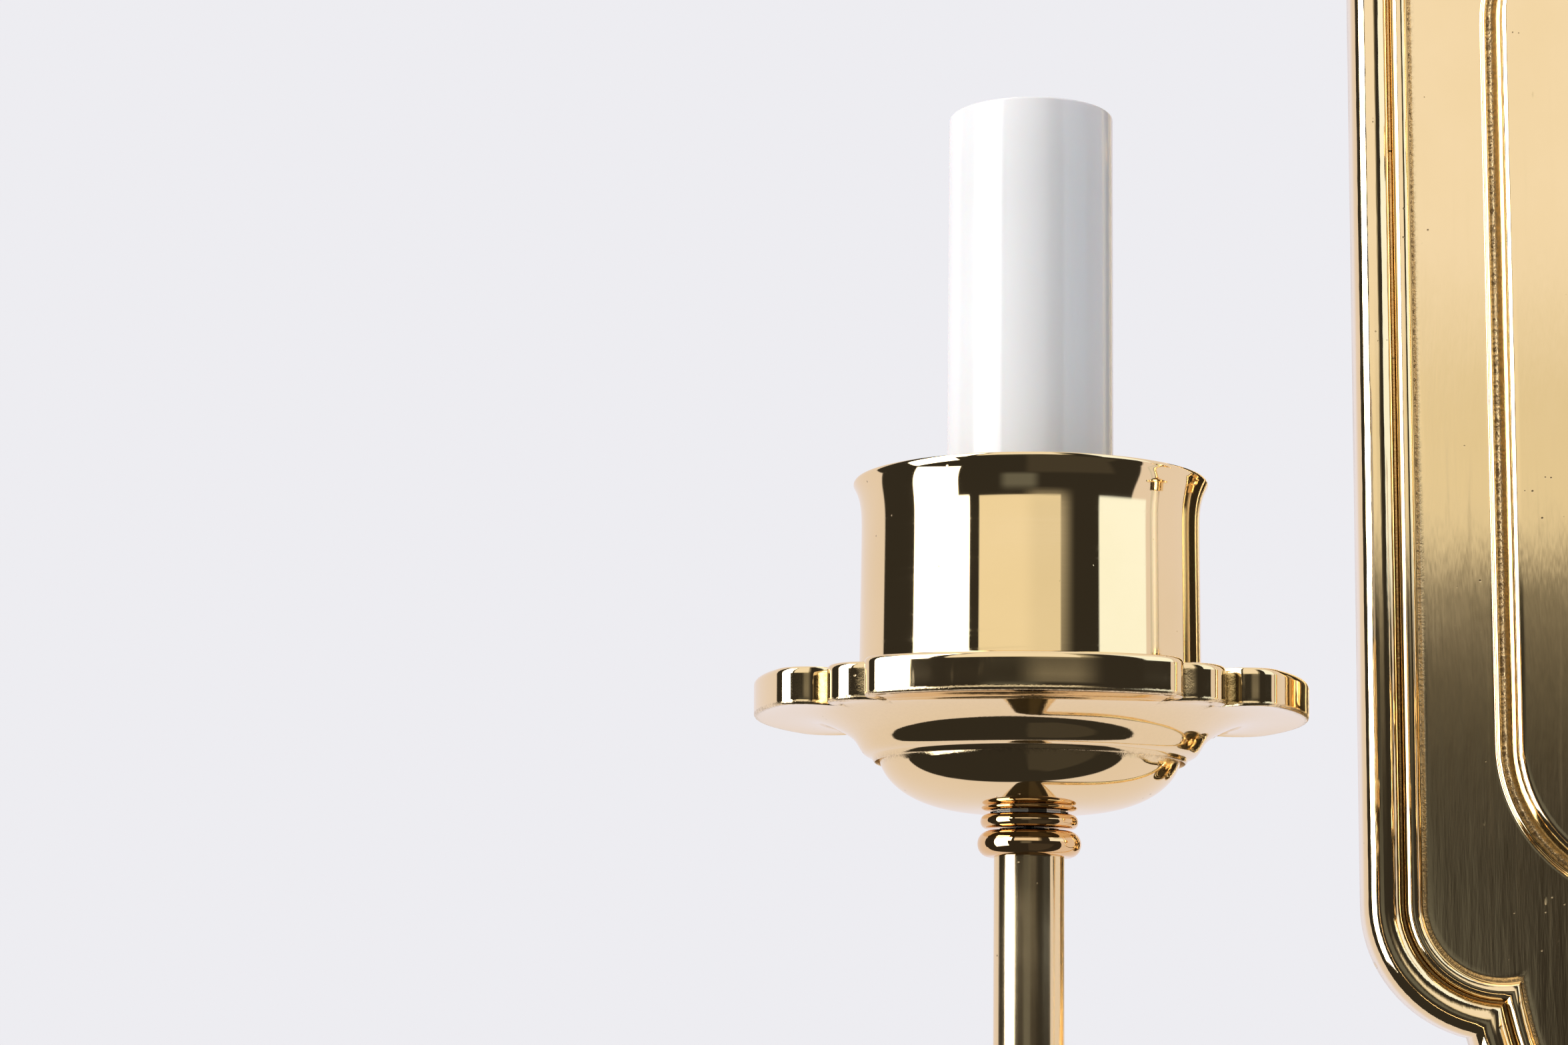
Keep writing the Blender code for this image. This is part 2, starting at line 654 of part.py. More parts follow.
def circle_reach(angle, centre_distance, centre_angle, radius):
    """How far a ray at an angle reaches to the far side of a circle, or None if it misses."""
    off = angle - centre_angle
    across = centre_distance * sin(off)
    if abs(across) > radius:
        return None
    return centre_distance * cos(off) + sqrt(radius**2 - across**2)


def pan_reach(angle):
    """The pan's outline: four broad lobes at the quarters and four small ones between them."""
    fold = abs((angle + pi / 4) % (pi / 2) - pi / 4)
    if fold <= LOBE_END_ANGLE:
        return PAN_RADIUS
    reaches = [
        NOTCH_RADIUS,
        circle_reach(fold, PAN_RADIUS - LOBE_END_RADIUS, LOBE_END_ANGLE, LOBE_END_RADIUS),
        circle_reach(fold, CORNER_LOBE_REACH - CORNER_LOBE_RADIUS, pi / 4, CORNER_LOBE_RADIUS),
    ]
    return max(reach for reach in reaches if reach is not None)


def pan_angles():
    """Angles round the pan, closest together at the ends of its lobes."""
    shares = (0, 14.5, 28, 32, 35.2, 36.6, 40.5, 45)
    quarter = [radians(s) for s in shares] + [radians(90 - s) for s in reversed(shares[1:-1])]
    return [q + turn * pi / 2 for turn in range(4) for q in quarter]


def pan_section(reach):
    """(radius, height) round the pan's section where its outline is at reach."""
    hole = PIPE_RADIUS + BORE_GAP
    skirt_inside = DOME_RADIUS + BORE_GAP
    skirt_low = PAN_RIM_Z - PAN_SKIRT
    edge = 1.0 * MM
    return [
        (hole, PAN_FLOOR_Z),
        (CUP_RADIUS + 1.5 * MM, PAN_FLOOR_Z),
        (reach - 3.0 * MM, PAN_TOP_Z - 0.7 * MM),
        (reach - edge, PAN_TOP_Z),
        (reach, PAN_TOP_Z - edge),
        (reach, PAN_RIM_Z + edge),
        (reach - edge, PAN_RIM_Z),
        *[(radius, PAN_RIM_Z - depth) for radius, depth in PAN_BOWL],
        (PAN_SKIRT_RADIUS, skirt_low + 0.4 * MM),
        (PAN_SKIRT_RADIUS - 0.4 * MM, skirt_low),
        (skirt_inside, skirt_low + 0.3 * MM),
        (skirt_inside, PAN_UNDER_Z),
        (hole, PAN_UNDER_Z),
    ]


def make_pan(name, material, origin):
    sections = []
    for angle in pan_angles():
        points = pan_section(pan_reach(angle))
        sections.append([(r * cos(angle), r * sin(angle), z) for r, z in points])
    add_object(name, bridge_rings(sections, closed_rings=True), material, origin)


def dome_profile():
    """The half-round cap under the pan, open above, with a hole for the pipe."""
    hole = PIPE_RADIUS + BORE_GAP
    top = min(SEAM_Z + DOME_COLLAR, PAN_UNDER_Z - GAP)
    outer, inner = [], []
    inner_radius = DOME_RADIUS - DOME_WALL
    inner_depth = DOME_DEPTH - DOME_WALL
    for i in range(5):
        turn = pi / 2 * (1 - i / 5)
        x = hole + (DOME_RADIUS - hole) * cos(turn) ** 0.8
        outer.append((x, SEAM_Z - DOME_DEPTH * sin(turn) ** 0.9))
        x = hole + (inner_radius - hole) * cos(turn) ** 0.8
        inner.append((x, SEAM_Z - inner_depth * sin(turn) ** 0.9))
    outer += [(DOME_RADIUS, SEAM_Z), (DOME_RADIUS, top)]
    inner += [(inner_radius, SEAM_Z), (inner_radius, top)]
    return outer + inner[::-1]


def cup_profile():
    """The gallery cup: a flat floor, a straight wall and a lip that flares out."""
    hole = PIPE_RADIUS + BORE_GAP
    flare = CUP_LIP_RADIUS - CUP_RADIUS
    straight = CUP_Z + CUP_HEIGHT - CUP_FLARE_HEIGHT
    outer, inner = [], []
    for i in range(4):
        share = i / 3
        z = straight + CUP_FLARE_HEIGHT * share
        outer.append((CUP_RADIUS + flare * share**2, z))
        inner.append((CUP_RADIUS - CUP_WALL + flare * share**2, z))
    inner[-1] = (CUP_LIP_RADIUS - CUP_WALL * 0.8, CUP_Z + CUP_HEIGHT)
    edge = 0.8 * MM
    start = [(hole, CUP_Z), (CUP_RADIUS - edge, CUP_Z), (CUP_RADIUS, CUP_Z + edge)]
    end = [(CUP_RADIUS - CUP_WALL, CUP_FLOOR_Z), (hole, CUP_FLOOR_Z)]
    return start + outer + inner[::-1] + end


def make_bracket(name, material, origin):
    """The folded strip that stands the socket on the pipe: a foot, a riser and a tab."""
    riser_out = SLEEVE_RADIUS - SLEEVE_WALL - 2 * GAP - 0.5 * MM
    riser_in = riser_out - BRACKET_THICKNESS
    strip = [
        (-BRACKET_FOOT_RADIUS, FOOT_Z),
        (riser_out, FOOT_Z),
        (riser_out, TAB_Z + BRACKET_THICKNESS),
        (-BRACKET_HALF_WIDTH, TAB_Z + BRACKET_THICKNESS),
        (-BRACKET_HALF_WIDTH, TAB_Z),
        (riser_in, TAB_Z),
        (riser_in, FOOT_Z + BRACKET_THICKNESS),
        (-BRACKET_FOOT_RADIUS, FOOT_Z + BRACKET_THICKNESS),
    ]
    half = BRACKET_HALF_WIDTH
    foot_half = BRACKET_FOOT_RADIUS - 1.0 * MM
    rings = [[(x, y, z) for x, z in strip] for y in (-half, half)]
    bracket = add_object(name, bridge_rings(rings), material, origin)
    foot = [(foot_half, FOOT_Z), (foot_half, FOOT_Z + BRACKET_THICKNESS)]
    foot = [(0, FOOT_Z)] + foot + [(0, FOOT_Z + BRACKET_THICKNESS)]
    add_union(bracket, turned(foot, 24), name + "_foot_disc")
    past = 1.0 * MM
    holes = (
        ("_pipe_hole", PIPE_RADIUS + GAP, FOOT_Z - past, FOOT_Z + BRACKET_THICKNESS + past),
        ("_screw_hole", SCREW_RADIUS + GAP, TAB_Z - past, TAB_Z + BRACKET_THICKNESS + past),
    )
    for suffix, radius, low, high in holes:
        drill = turned([(0, low), (radius, low), (radius, high), (0, high)], SMALL)
        cut(bracket, drill, name + suffix)


def add_union(target, bm, name):
    """Joins the bmesh's shape to target with a hidden wire helper."""
    cut(target, bm, name)
    target.modifiers[name].operation = "UNION"


def socket_profile():
    """The moulded socket: a base with a blind screw hole, and a cup for the screw shell."""
    inside = SHELL_RADIUS + GAP
    screw = SCREW_RADIUS + GAP
    edge = 0.6 * MM
    floor = SOCKET_Z + SOCKET_BASE
    return [
        (0, SOCKET_Z + SOCKET_BASE * 0.7),
        (screw, SOCKET_Z + SOCKET_BASE * 0.7),
        (screw, SOCKET_Z),
        (SOCKET_RADIUS - edge, SOCKET_Z),
        (SOCKET_RADIUS, SOCKET_Z + edge),
        (SOCKET_RADIUS, SOCKET_TOP_Z - edge),
        (SOCKET_RADIUS - edge, SOCKET_TOP_Z),
        (inside, SOCKET_TOP_Z),
        (inside, floor),
        (0, floor),
    ]


def make_socket(prefix, phenolic, brass, steel, origin):
    body = add_object(prefix + "socket_body", turned(socket_profile(), 20), phenolic, origin)
    for suffix, y in (("front_lead_hole", -LEAD_SPREAD), ("back_lead_hole", LEAD_SPREAD)):
        low, high = SOCKET_Z - 1.0 * MM, SOCKET_Z + SOCKET_BASE * 0.7
        radius = LEAD_RADIUS + BORE_GAP
        drill = turned([(0, low), (radius, low), (radius, high), (0, high)], 10)
        bmesh.ops.translate(drill, vec=(0, y, 0), verts=drill.verts)
        cut(body, drill, prefix + suffix)
    floor = SOCKET_Z + SOCKET_BASE + GAP
    contact_top = floor + CONTACT_THICKNESS
    contact = [(0, floor), (CONTACT_RADIUS, floor), (CONTACT_RADIUS, contact_top - 0.3 * MM)]
    contact += [(CONTACT_RADIUS - 0.6 * MM, contact_top), (0, contact_top)]
    add_object(prefix + "centre_contact", turned(contact, SMALL), brass, origin)
    bore = SHELL_RADIUS - SHELL_WALL
    shell_low = contact_top + 2 * MM
    shell = [(bore, shell_low), (SHELL_RADIUS, shell_low)]
    shell += [(SHELL_RADIUS, SOCKET_TOP_Z - 1 * MM), (bore, SOCKET_TOP_Z - 1 * MM)]
    add_object(prefix + "screw_shell", turned(shell, 16, closed=True), brass, origin)
    head = TAB_Z - GAP
    tip = SOCKET_Z + SOCKET_BASE * 0.5
    screw = [
        (0, head - 1.6 * MM),
        (SCREW_HEAD_RADIUS - 0.6 * MM, head - 1.6 * MM),
        (SCREW_HEAD_RADIUS, head - 0.8 * MM),
        (SCREW_HEAD_RADIUS, head),
        (SCREW_RADIUS, head),
        (SCREW_RADIUS, tip),
        (0, tip),
    ]
    add_object(prefix + "socket_screw", turned(screw, 12), steel, origin)


def make_candle(prefix, side, brass, steel, plastic, phenolic):
    """One candle fitting, from the beads on the arm up to the sleeve."""
    origin = (side * CANDLE_X, CANDLE_Y, 0)
    hole = PIPE_RADIUS + BORE_GAP
    bead = rounded_ring(ARM_RADIUS + GAP, LOWER_BEAD_RADIUS, BEAD_Z, RING_Z - GAP)
    add_object(prefix + "arm_bead", turned(bead, 20, closed=True), brass, origin)
    ring = rounded_ring(hole, UPPER_RING_RADIUS, RING_Z, RING_Z + UPPER_RING_HEIGHT, 4)
    add_object(prefix + "arm_ring", turned(ring, 20, closed=True), brass, origin)
    add_object(prefix + "dome", turned(dome_profile(), ROUND, closed=True), brass, origin)
    make_pan(prefix + "drip_pan", brass, origin)
    add_object(prefix + "cup", turned(cup_profile(), ROUND + 4, closed=True), brass, origin)
    low, high = ARM_END_Z + GAP, PIPE_TOP_Z
    pipe = [(PIPE_BORE, low), (PIPE_RADIUS, low), (PIPE_RADIUS, high), (PIPE_BORE, high)]
    add_object(prefix + "pipe", turned(pipe, SMALL, closed=True), steel, origin)
    place = (origin[0], origin[1], NUT_Z)
    ring_nut(prefix + "cup_nut", PIPE_NUT_FLATS, PIPE_NUT_THICKNESS, PIPE_RADIUS + GAP, brass, place)
    make_bracket(prefix + "socket_bracket", steel, origin)
    make_socket(prefix, phenolic, brass, steel, origin)
    inside = SLEEVE_RADIUS - SLEEVE_WALL
    edge = 0.4 * MM
    sleeve = [
        (inside, 0),
        (SLEEVE_RADIUS, 0),
        (SLEEVE_RADIUS, SLEEVE_LENGTH - edge),
        (SLEEVE_RADIUS - edge, SLEEVE_LENGTH),
        (inside, SLEEVE_LENGTH),
    ]
    place = (origin[0], origin[1], SLEEVE_Z)
    add_object(prefix + "sleeve", turned(sleeve, ROUND, closed=True), plastic, place)


# ---------------------------------------------------------------- arms and wiring


def make_arm(prefix, side, brass):
    path = arm_points(ARM_ENTRY, side)
    add_object(prefix + "arm_tube", pipe_along(path, ARM_RADIUS, ARM_BORE, ARM_SIDES), brass)
    ahead = (path[1] - path[0]).normalized()
    seat = path[0] + ahead * (HUB_BALL_RADIUS - ARM_ENTRY + 1.2 * MM)
    profile = rounded_ring(ARM_RADIUS + GAP, COLLAR_RADIUS, 0.0, COLLAR_LENGTH, 4)
    collar = turned(profile, 20, closed=True)
    turn = Vector((0, 0, 1)).rotation_difference(ahead).to_matrix().to_4x4()
    bmesh.ops.transform(collar, matrix=turn, verts=collar.verts)
    add_object(prefix + "hub_collar", collar, brass, seat)


def lead_path(side, pole):
    """One lead's route: socket, pipe, arm, hub, hub pipe, and up behind the plate to its splice.

    pole is -1 for the live lead and +1 for the neutral one.
    """
    x, y = side * CANDLE_X, CANDLE_Y
    top = SOCKET_Z + SOCKET_BASE * 0.6
    above = [
        (x, y + pole * LEAD_SPREAD, top),
        (x, y + pole * LEAD_SPREAD, TAB_Z - 6 * MM),
        (x, y + pole * LEAD_SPREAD * 0.6, (TAB_Z + PIPE_TOP_Z) / 2),
        (x, y + pole * LEAD_SPACING, PIPE_TOP_Z + 3 * MM),
        (x, y + pole * LEAD_SPACING, PIPE_TOP_Z - 6 * MM),
        (x, y + pole * LEAD_SPACING, ARM_END_Z),
    ]
    plan, _ = arm_plan()
    across = Vector((-plan.y, side * plan.x, 0)).normalized()
    if across.y < 0:
        across.negate()
    centre = arm_points(ARM_ENTRY, side)[::-1]
    arm = [p + across * (pole * LEAD_SPACING) for p in centre[1:]]
    slot_x = side * LEAD_SPACING
    slot_z = HUB_Z + pole * LEAD_SPACING
    pipe_front = HUB_BALL_Y + HUB_CAVITY_RADIUS
    run_y = LIVE_RUN_Y if pole < 0 else NEUTRAL_RUN_Y
    end_x = pole * SPLICE_X + side * LEAD_SPACING
    behind = [
        (slot_x, pipe_front + 1.0 * MM, slot_z),
        (slot_x, run_y - 0.8 * MM, slot_z),
        (slot_x, run_y, slot_z + 0.8 * MM),
        (end_x, run_y, SPLICE_Z - 12 * MM),
        (end_x, SPLICE_Y, SPLICE_Z - 4 * MM),
        (end_x, SPLICE_Y, SPLICE_Z + SPLICE_LENGTH * 0.6),
    ]
    return [Vector(p) for p in above] + arm + [Vector(p) for p in behind]


def make_leads(prefix, side, black, white):
    for name, pole, cover in (("live_lead", -1, black), ("neutral_lead", 1, white)):
        path = lead_path(side, pole)
        add_object(prefix + name, rod_along(path, LEAD_RADIUS, LEAD_SIDES), cover)


def make_splice(name, x, material):
    """A screw-on wire connector: a tapered cap, open below."""
    top = SPLICE_LENGTH
    roof = 0.8 * top
    profile = [
        (0, roof),
        (SPLICE_BORE * 0.8, roof),
        (SPLICE_BORE, 0),
        (SPLICE_RADIUS, 0),
        (SPLICE_RADIUS, top * 0.3),
        (SPLICE_RADIUS * 0.72, top - 1.0 * MM),
        (SPLICE_RADIUS * 0.6, top),
        (0, top),
    ]
    add_object(name, turned(profile, SMALL), material, (x, SPLICE_Y, SPLICE_Z))


# ---------------------------------------------------------------- assembly


def main():
    clear_scene()
    brass = finish_material("polished_brass", (0.83, 0.62, 0.30), 0.12, 1.0)
    steel = finish_material("zinc_steel", (0.62, 0.62, 0.60), 0.35, 1.0)
    plastic = finish_material("white_sleeve", (0.90, 0.90, 0.89), 0.22, 0.0)
    phenolic = finish_material("brown_phenolic", (0.035, 0.032, 0.030), 0.4, 0.0)
    green = finish_material("green_screw", (0.05, 0.30, 0.12), 0.4, 0.6)
    black = finish_material("black_lead", (0.02, 0.02, 0.02), 0.5, 0.0)
    white = finish_material("white_lead", (0.75, 0.74, 0.70), 0.5, 0.0)
    orange = finish_material("splice_cap", (0.70, 0.22, 0.03), 0.45, 0.0)

    make_backplate(brass)
    make_strap(steel)
    make_wall_fixings(steel, brass, green)
    seat = make_hub(brass)
    make_finial(brass, seat)
    make_hub_pipe(brass, steel)
    for prefix, side in (("left_", -1), ("right_", 1)):
        make_arm(prefix, side, brass)
        make_candle(prefix, side, brass, steel, plastic, phenolic)
        make_leads(prefix, side, black, white)
    make_splice("live_splice", -SPLICE_X, orange)
    make_splice("neutral_splice", SPLICE_X, orange)


main()
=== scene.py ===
import json
from math import acos, asin, cos, pi, radians, sin, sqrt

import bmesh
import bpy
from mathutils import Matrix, Vector


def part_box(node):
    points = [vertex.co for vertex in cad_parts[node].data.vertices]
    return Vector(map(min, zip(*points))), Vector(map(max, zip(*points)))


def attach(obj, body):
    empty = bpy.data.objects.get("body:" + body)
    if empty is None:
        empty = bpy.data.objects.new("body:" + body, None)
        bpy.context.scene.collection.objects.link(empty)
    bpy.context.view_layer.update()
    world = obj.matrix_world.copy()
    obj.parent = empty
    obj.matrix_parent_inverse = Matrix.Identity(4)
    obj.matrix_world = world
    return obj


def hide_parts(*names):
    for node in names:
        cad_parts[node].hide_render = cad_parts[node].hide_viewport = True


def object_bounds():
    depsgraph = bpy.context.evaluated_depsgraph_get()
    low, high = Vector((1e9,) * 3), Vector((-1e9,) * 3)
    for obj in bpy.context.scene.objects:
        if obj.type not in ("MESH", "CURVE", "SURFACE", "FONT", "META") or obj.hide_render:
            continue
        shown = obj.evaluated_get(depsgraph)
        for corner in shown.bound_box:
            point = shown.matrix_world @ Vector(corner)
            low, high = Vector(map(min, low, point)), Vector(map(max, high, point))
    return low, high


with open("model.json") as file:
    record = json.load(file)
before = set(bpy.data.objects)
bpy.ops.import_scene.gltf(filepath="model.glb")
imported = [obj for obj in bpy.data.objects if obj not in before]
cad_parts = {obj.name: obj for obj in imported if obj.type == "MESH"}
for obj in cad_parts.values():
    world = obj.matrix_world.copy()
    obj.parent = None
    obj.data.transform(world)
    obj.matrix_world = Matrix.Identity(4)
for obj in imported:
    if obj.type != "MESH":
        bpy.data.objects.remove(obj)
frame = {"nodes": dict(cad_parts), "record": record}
CAD_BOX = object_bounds()

MM = 0.001
SIDES = (("left_", -1), ("right_", 1))
ROOT = "fixture"


# ================================================================ places, from the frame


def middle(node):
    low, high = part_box(node)
    return (low + high) / 2


_, PLATE_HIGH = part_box("backplate")
PLATE_HALF_WIDTH = PLATE_HIGH.x
PLATE_HALF_HEIGHT = PLATE_HIGH.z
CANDLE = {prefix: middle(prefix + "cup") for prefix, _ in SIDES}
HUB_LOW, HUB_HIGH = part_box("hub")
HUB_Z = (HUB_LOW.z + HUB_HIGH.z) / 2
HUB_BALL = 33.0  # millimetres from the wall to the middle of the hub's ball


# ================================================================ material building


class Shading:
    """A small builder for one material's nodes."""

    def __init__(self, name):
        self.material = bpy.data.materials.new(name)
        self.material.use_nodes = True
        self.tree = self.material.node_tree
        self.nodes = self.tree.nodes
        self.links = self.tree.links
        self.shader = self.nodes["Principled BSDF"]
        self.place = self.node("ShaderNodeTexCoord").outputs["Object"]

    def node(self, kind, **settings):
        made = self.nodes.new(kind)
        for key, value in settings.items():
            setattr(made, key, value)
        return made

    def feed(self, socket, value):
        if isinstance(value, bpy.types.NodeSocket):
            self.links.new(value, socket)
        else:
            socket.default_value = value

    def mapped(self, scale=(1, 1, 1), turn=(0, 0, 0)):
        made = self.node("ShaderNodeMapping")
        self.feed(made.inputs["Vector"], self.place)
        made.inputs["Scale"].default_value = scale
        made.inputs["Rotation"].default_value = turn
        return made.outputs["Vector"]

    def noise(self, scale, detail=3.0, roughness=0.55, vector=None):
        made = self.node("ShaderNodeTexNoise")
        self.feed(made.inputs["Vector"], vector or self.place)
        made.inputs["Scale"].default_value = scale
        made.inputs["Detail"].default_value = detail
        made.inputs["Roughness"].default_value = roughness
        return made.outputs["Fac"]

    def spots(self, scale, vector=None):
        made = self.node("ShaderNodeTexVoronoi")
        self.feed(made.inputs["Vector"], vector or self.place)
        made.inputs["Scale"].default_value = scale
        return made.outputs["Distance"]

    def span(self, value, low, high, to_low=0.0, to_high=1.0):
        """Maps value smoothly from low..high to to_low..to_high, held at both ends."""
        made = self.node("ShaderNodeMapRange", interpolation_type="SMOOTHSTEP")
        self.feed(made.inputs["Value"], value)
        made.inputs["From Min"].default_value = low
        made.inputs["From Max"].default_value = high
        made.inputs["To Min"].default_value = to_low
        made.inputs["To Max"].default_value = to_high
        return made.outputs["Result"]

    def math(self, operation, first, second):
        made = self.node("ShaderNodeMath", operation=operation)
        for socket, value in zip(made.inputs, (first, second)):
            self.feed(socket, value)
        return made.outputs[0]

    def blend(self, share, first, second):
        made = self.node("ShaderNodeMix", data_type="RGBA")
        self.feed(made.inputs[0], share)
        self.feed(made.inputs[6], first)
        self.feed(made.inputs[7], second)
        return made.outputs[2]

    def height(self):
        """The height of the point in the piece's own coordinates, in metres."""
        split = self.node("ShaderNodeSeparateXYZ")
        self.feed(split.inputs[0], self.place)
        return split.outputs["Z"]

    def worn(self, name):
        """A point attribute of the piece, from 0 to 1."""
        return self.node("ShaderNodeAttribute", attribute_name=name).outputs["Fac"]

    def bump(self, height, distance, strength=1.0, onto=None):
        made = self.node("ShaderNodeBump")
        self.feed(made.inputs["Height"], height)
        made.inputs["Distance"].default_value = distance
        made.inputs["Strength"].default_value = strength
        if onto is not None:
            self.feed(made.inputs["Normal"], onto)
        return made.outputs["Normal"]

    def set(self, **values):
        names = {
            "colour": "Base Color",
            "metallic": "Metallic",
            "roughness": "Roughness",
            "normal": "Normal",
            "ior": "IOR",
            "coat": "Coat Weight",
            "coat_roughness": "Coat Roughness",
            "subsurface": "Subsurface Weight",
            "subsurface_scale": "Subsurface Scale",
        }
        for key, value in values.items():
            self.feed(self.shader.inputs[names[key]], value)
        return self.material


FACE_LEAN = 0.017  # slope of the plate's face towards the floor
# (turn, scale, scale of the patches that hold them) of three crossing sets of fine scratches
SCRATCHES = (((0.5, 0.2, 0.9), 190, 30), ((2.1, 1.2, 0.3), 230, 36), ((1.1, 2.3, 1.7), 170, 27))


def brass(name, grain=(1, 1, 1), cast=0.0, base=0.055, streak=0.0, painted_warm_reflection=0.0):
    """Polished yellow brass with fine scratches and pits.

    grain stretches the polishing lines, base is the roughness and warm reddens the tone as a painted
    reflection of the brass near the piece, not the metal's own colour. cast adds sand-cast grit where the
    attribute foot marks it. streak is the depth in metres of a buffing wheel's upright strokes.
    """
    s = Shading(name)
    lines = s.noise(900, 2, 0.6, s.mapped(scale=grain))
    fine = s.noise(2600, 2, 0.5, s.mapped(scale=grain, turn=(0.1, 0.2, 0.05)))
    cloud = s.noise(38, 4, 0.6)
    pits = s.span(s.spots(520), 0.04, 0.11, 1.0, 0.0)
    pits = s.math("MULTIPLY", pits, s.span(s.noise(85, 2), 0.56, 0.64))
    hairs = None
    for turn, scale, patch_scale in SCRATCHES:
        across = s.mapped(scale=(1, 0.035, 0.35), turn=turn)
        hair = s.span(s.spots(scale, across), 0.03, 0.07, 1.0, 0.0)
        hair = s.math("MULTIPLY", hair, s.span(s.noise(patch_scale, 2), 0.54, 0.62))
        hairs = hair if hairs is None else s.math("MAXIMUM", hairs, hair)
    tone = s.blend(s.span(cloud, 0.3, 0.75), (0.89, 0.695, 0.405, 1), (0.92, 0.725, 0.44, 1))
    # painted reflection: tints the tone red-brown, standing in for nearby brass reflected in the piece
    tone = s.blend(painted_warm_reflection, tone, (0.78, 0.42, 0.17, 1))
    tone = s.blend(s.math("MULTIPLY", pits, 0.75), tone, (0.20, 0.13, 0.06, 1))
    rough = s.span(cloud, 0.25, 0.8, base * 0.7, base * 1.5)
    rough = s.math("ADD", rough, s.span(lines, 0.55, 0.8, 0.0, 0.05))
    rough = s.math("ADD", rough, s.math("MULTIPLY", pits, 0.3))
    rough = s.math("ADD", rough, s.math("MULTIPLY", hairs, 0.22))
    height = s.math("ADD", s.math("MULTIPLY", lines, 0.6), s.math("MULTIPLY", fine, 0.4))
    normal = s.bump(height, 0.000006, 0.35)
    normal = s.bump(s.math("SUBTRACT", 1.0, s.math("MAXIMUM", hairs, pits)), 0.000025, 0.8, normal)
    if streak:
        strokes = s.noise(330, 4, 0.65, s.mapped(scale=(1, 1, 0.1)))
        waves = s.math("ADD", strokes, s.math("MULTIPLY", s.noise(16, 1), 4.0))
        bow = s.math("MULTIPLY", s.height(), FACE_LEAN / streak)
        normal = s.bump(s.math("ADD", waves, bow), streak, 1.0, normal)
    if cast:
        foot = s.worn("foot")
        crumbs = s.noise(1900, 4, 0.75)
        grit = s.math("MULTIPLY", foot, s.span(crumbs, 0.44, 0.60))
        tone = s.blend(s.math("MULTIPLY", grit, cast), tone, (0.16, 0.10, 0.045, 1))
        rough = s.math("ADD", rough, s.math("MULTIPLY", grit, 0.35 * cast))
        normal = s.bump(s.math("MULTIPLY", foot, crumbs), 0.00016 * cast, 0.8, normal)
    return s.set(colour=tone, metallic=1.0, roughness=rough, normal=normal)


def zinc_steel(name):
    """Zinc-plated steel, dull and a little blotched."""
    s = Shading(name)
    cloud = s.noise(60, 4)
    tone = s.blend(s.span(cloud, 0.3, 0.7), (0.50, 0.50, 0.48, 1), (0.66, 0.66, 0.64, 1))
    normal = s.bump(s.noise(1800, 3), 0.00001, 0.5)
    return s.set(colour=tone, metallic=1.0, roughness=s.span(cloud, 0.3, 0.7, 0.28, 0.42), normal=normal)


def sleeve_plastic():
    """Glossy white tube with faint mould lines and a few small stains."""
    s = Shading("white_sleeve_plastic")
    cloud = s.noise(45, 3)
    tone = s.blend(s.span(cloud, 0.3, 0.7), (0.70, 0.70, 0.705, 1), (0.725, 0.725, 0.73, 1))
    specks = s.span(s.spots(150), 0.03, 0.075, 1.0, 0.0)
    rare = s.math("MULTIPLY", specks, s.span(s.noise(33, 1), 0.655, 0.70))
    tone = s.blend(s.math("MULTIPLY", rare, 0.45), tone, (0.50, 0.53, 0.40, 1))
    streak = s.noise(300, 2, 0.5, s.mapped(scale=(1, 1, 0.02)))
    normal = s.bump(streak, 0.00001, 0.3)
    rough = s.span(cloud, 0.3, 0.7, 0.16, 0.22)
    return s.set(colour=tone, roughness=rough, normal=normal, coat=0.25, coat_roughness=0.08, ior=1.49,
                 subsurface=0.12, subsurface_scale=0.002)


def moulded(name, dark, light, roughness, size=700):
    """Plain moulded plastic or rubber with a fine grain."""
    s = Shading(name)
    cloud = s.noise(90, 3)
    tone = s.blend(s.span(cloud, 0.3, 0.7), (*dark, 1), (*light, 1))
    normal = s.bump(s.noise(size, 3), 0.00002, 0.6)
    rough = s.span(cloud, 0.3, 0.7, roughness * 0.85, roughness * 1.15)
    return s.set(colour=tone, roughness=rough, normal=normal)


# ================================================================ mesh building


def new_piece(name, bm, material, body=ROOT, replaces=(), angle=radians(32)):
    """Finishes a bmesh as a piece whose place is in its mesh."""
    mesh = bpy.data.meshes.new(name)
    bm.to_mesh(mesh)
    bm.free()
    mesh.materials.append(material)
    mesh.shade_smooth()
    mesh.set_sharp_from_angle(angle=angle)
    piece = bpy.data.objects.new(name, mesh)
    bpy.context.scene.collection.objects.link(piece)
    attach(piece, body)
    if replaces:
        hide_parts(*replaces)
    return piece


def spun(profile, steps, centre, closed=False, axis="Z"):
    """Turns a profile of (radius, height) points in metres about an axis through centre."""
    bm = bmesh.new()
    points = [bm.verts.new((r, 0, z)) for r, z in profile]
    pairs = list(zip(points, points[1:]))
    if closed:
        pairs.append((points[-1], points[0]))
    edges = [bm.edges.new(pair) for pair in pairs]
    bmesh.ops.spin(bm, geom=points + edges, cent=(0, 0, 0), axis=(0, 0, 1), dvec=(0, 0, 0),
                   angle=2 * pi, steps=steps, use_merge=True)
    bmesh.ops.remove_doubles(bm, verts=bm.verts, dist=1e-7)
    bmesh.ops.recalc_face_normals(bm, faces=bm.faces)
    if axis == "-Y":
        bmesh.ops.rotate(bm, verts=bm.verts, matrix=Matrix.Rotation(pi / 2, 3, "X"))
    bmesh.ops.translate(bm, verts=bm.verts, vec=centre)
    return bm


def arc(centre_r, centre_z, radius, start, end, steps):
    """Points of an arc in a (radius, height) profile; angles in degrees from the outward side."""
    turns = [radians(start + (end - start) * i / steps) for i in range(steps + 1)]
    return [(centre_r + radius * cos(t), centre_z + radius * sin(t)) for t in turns]


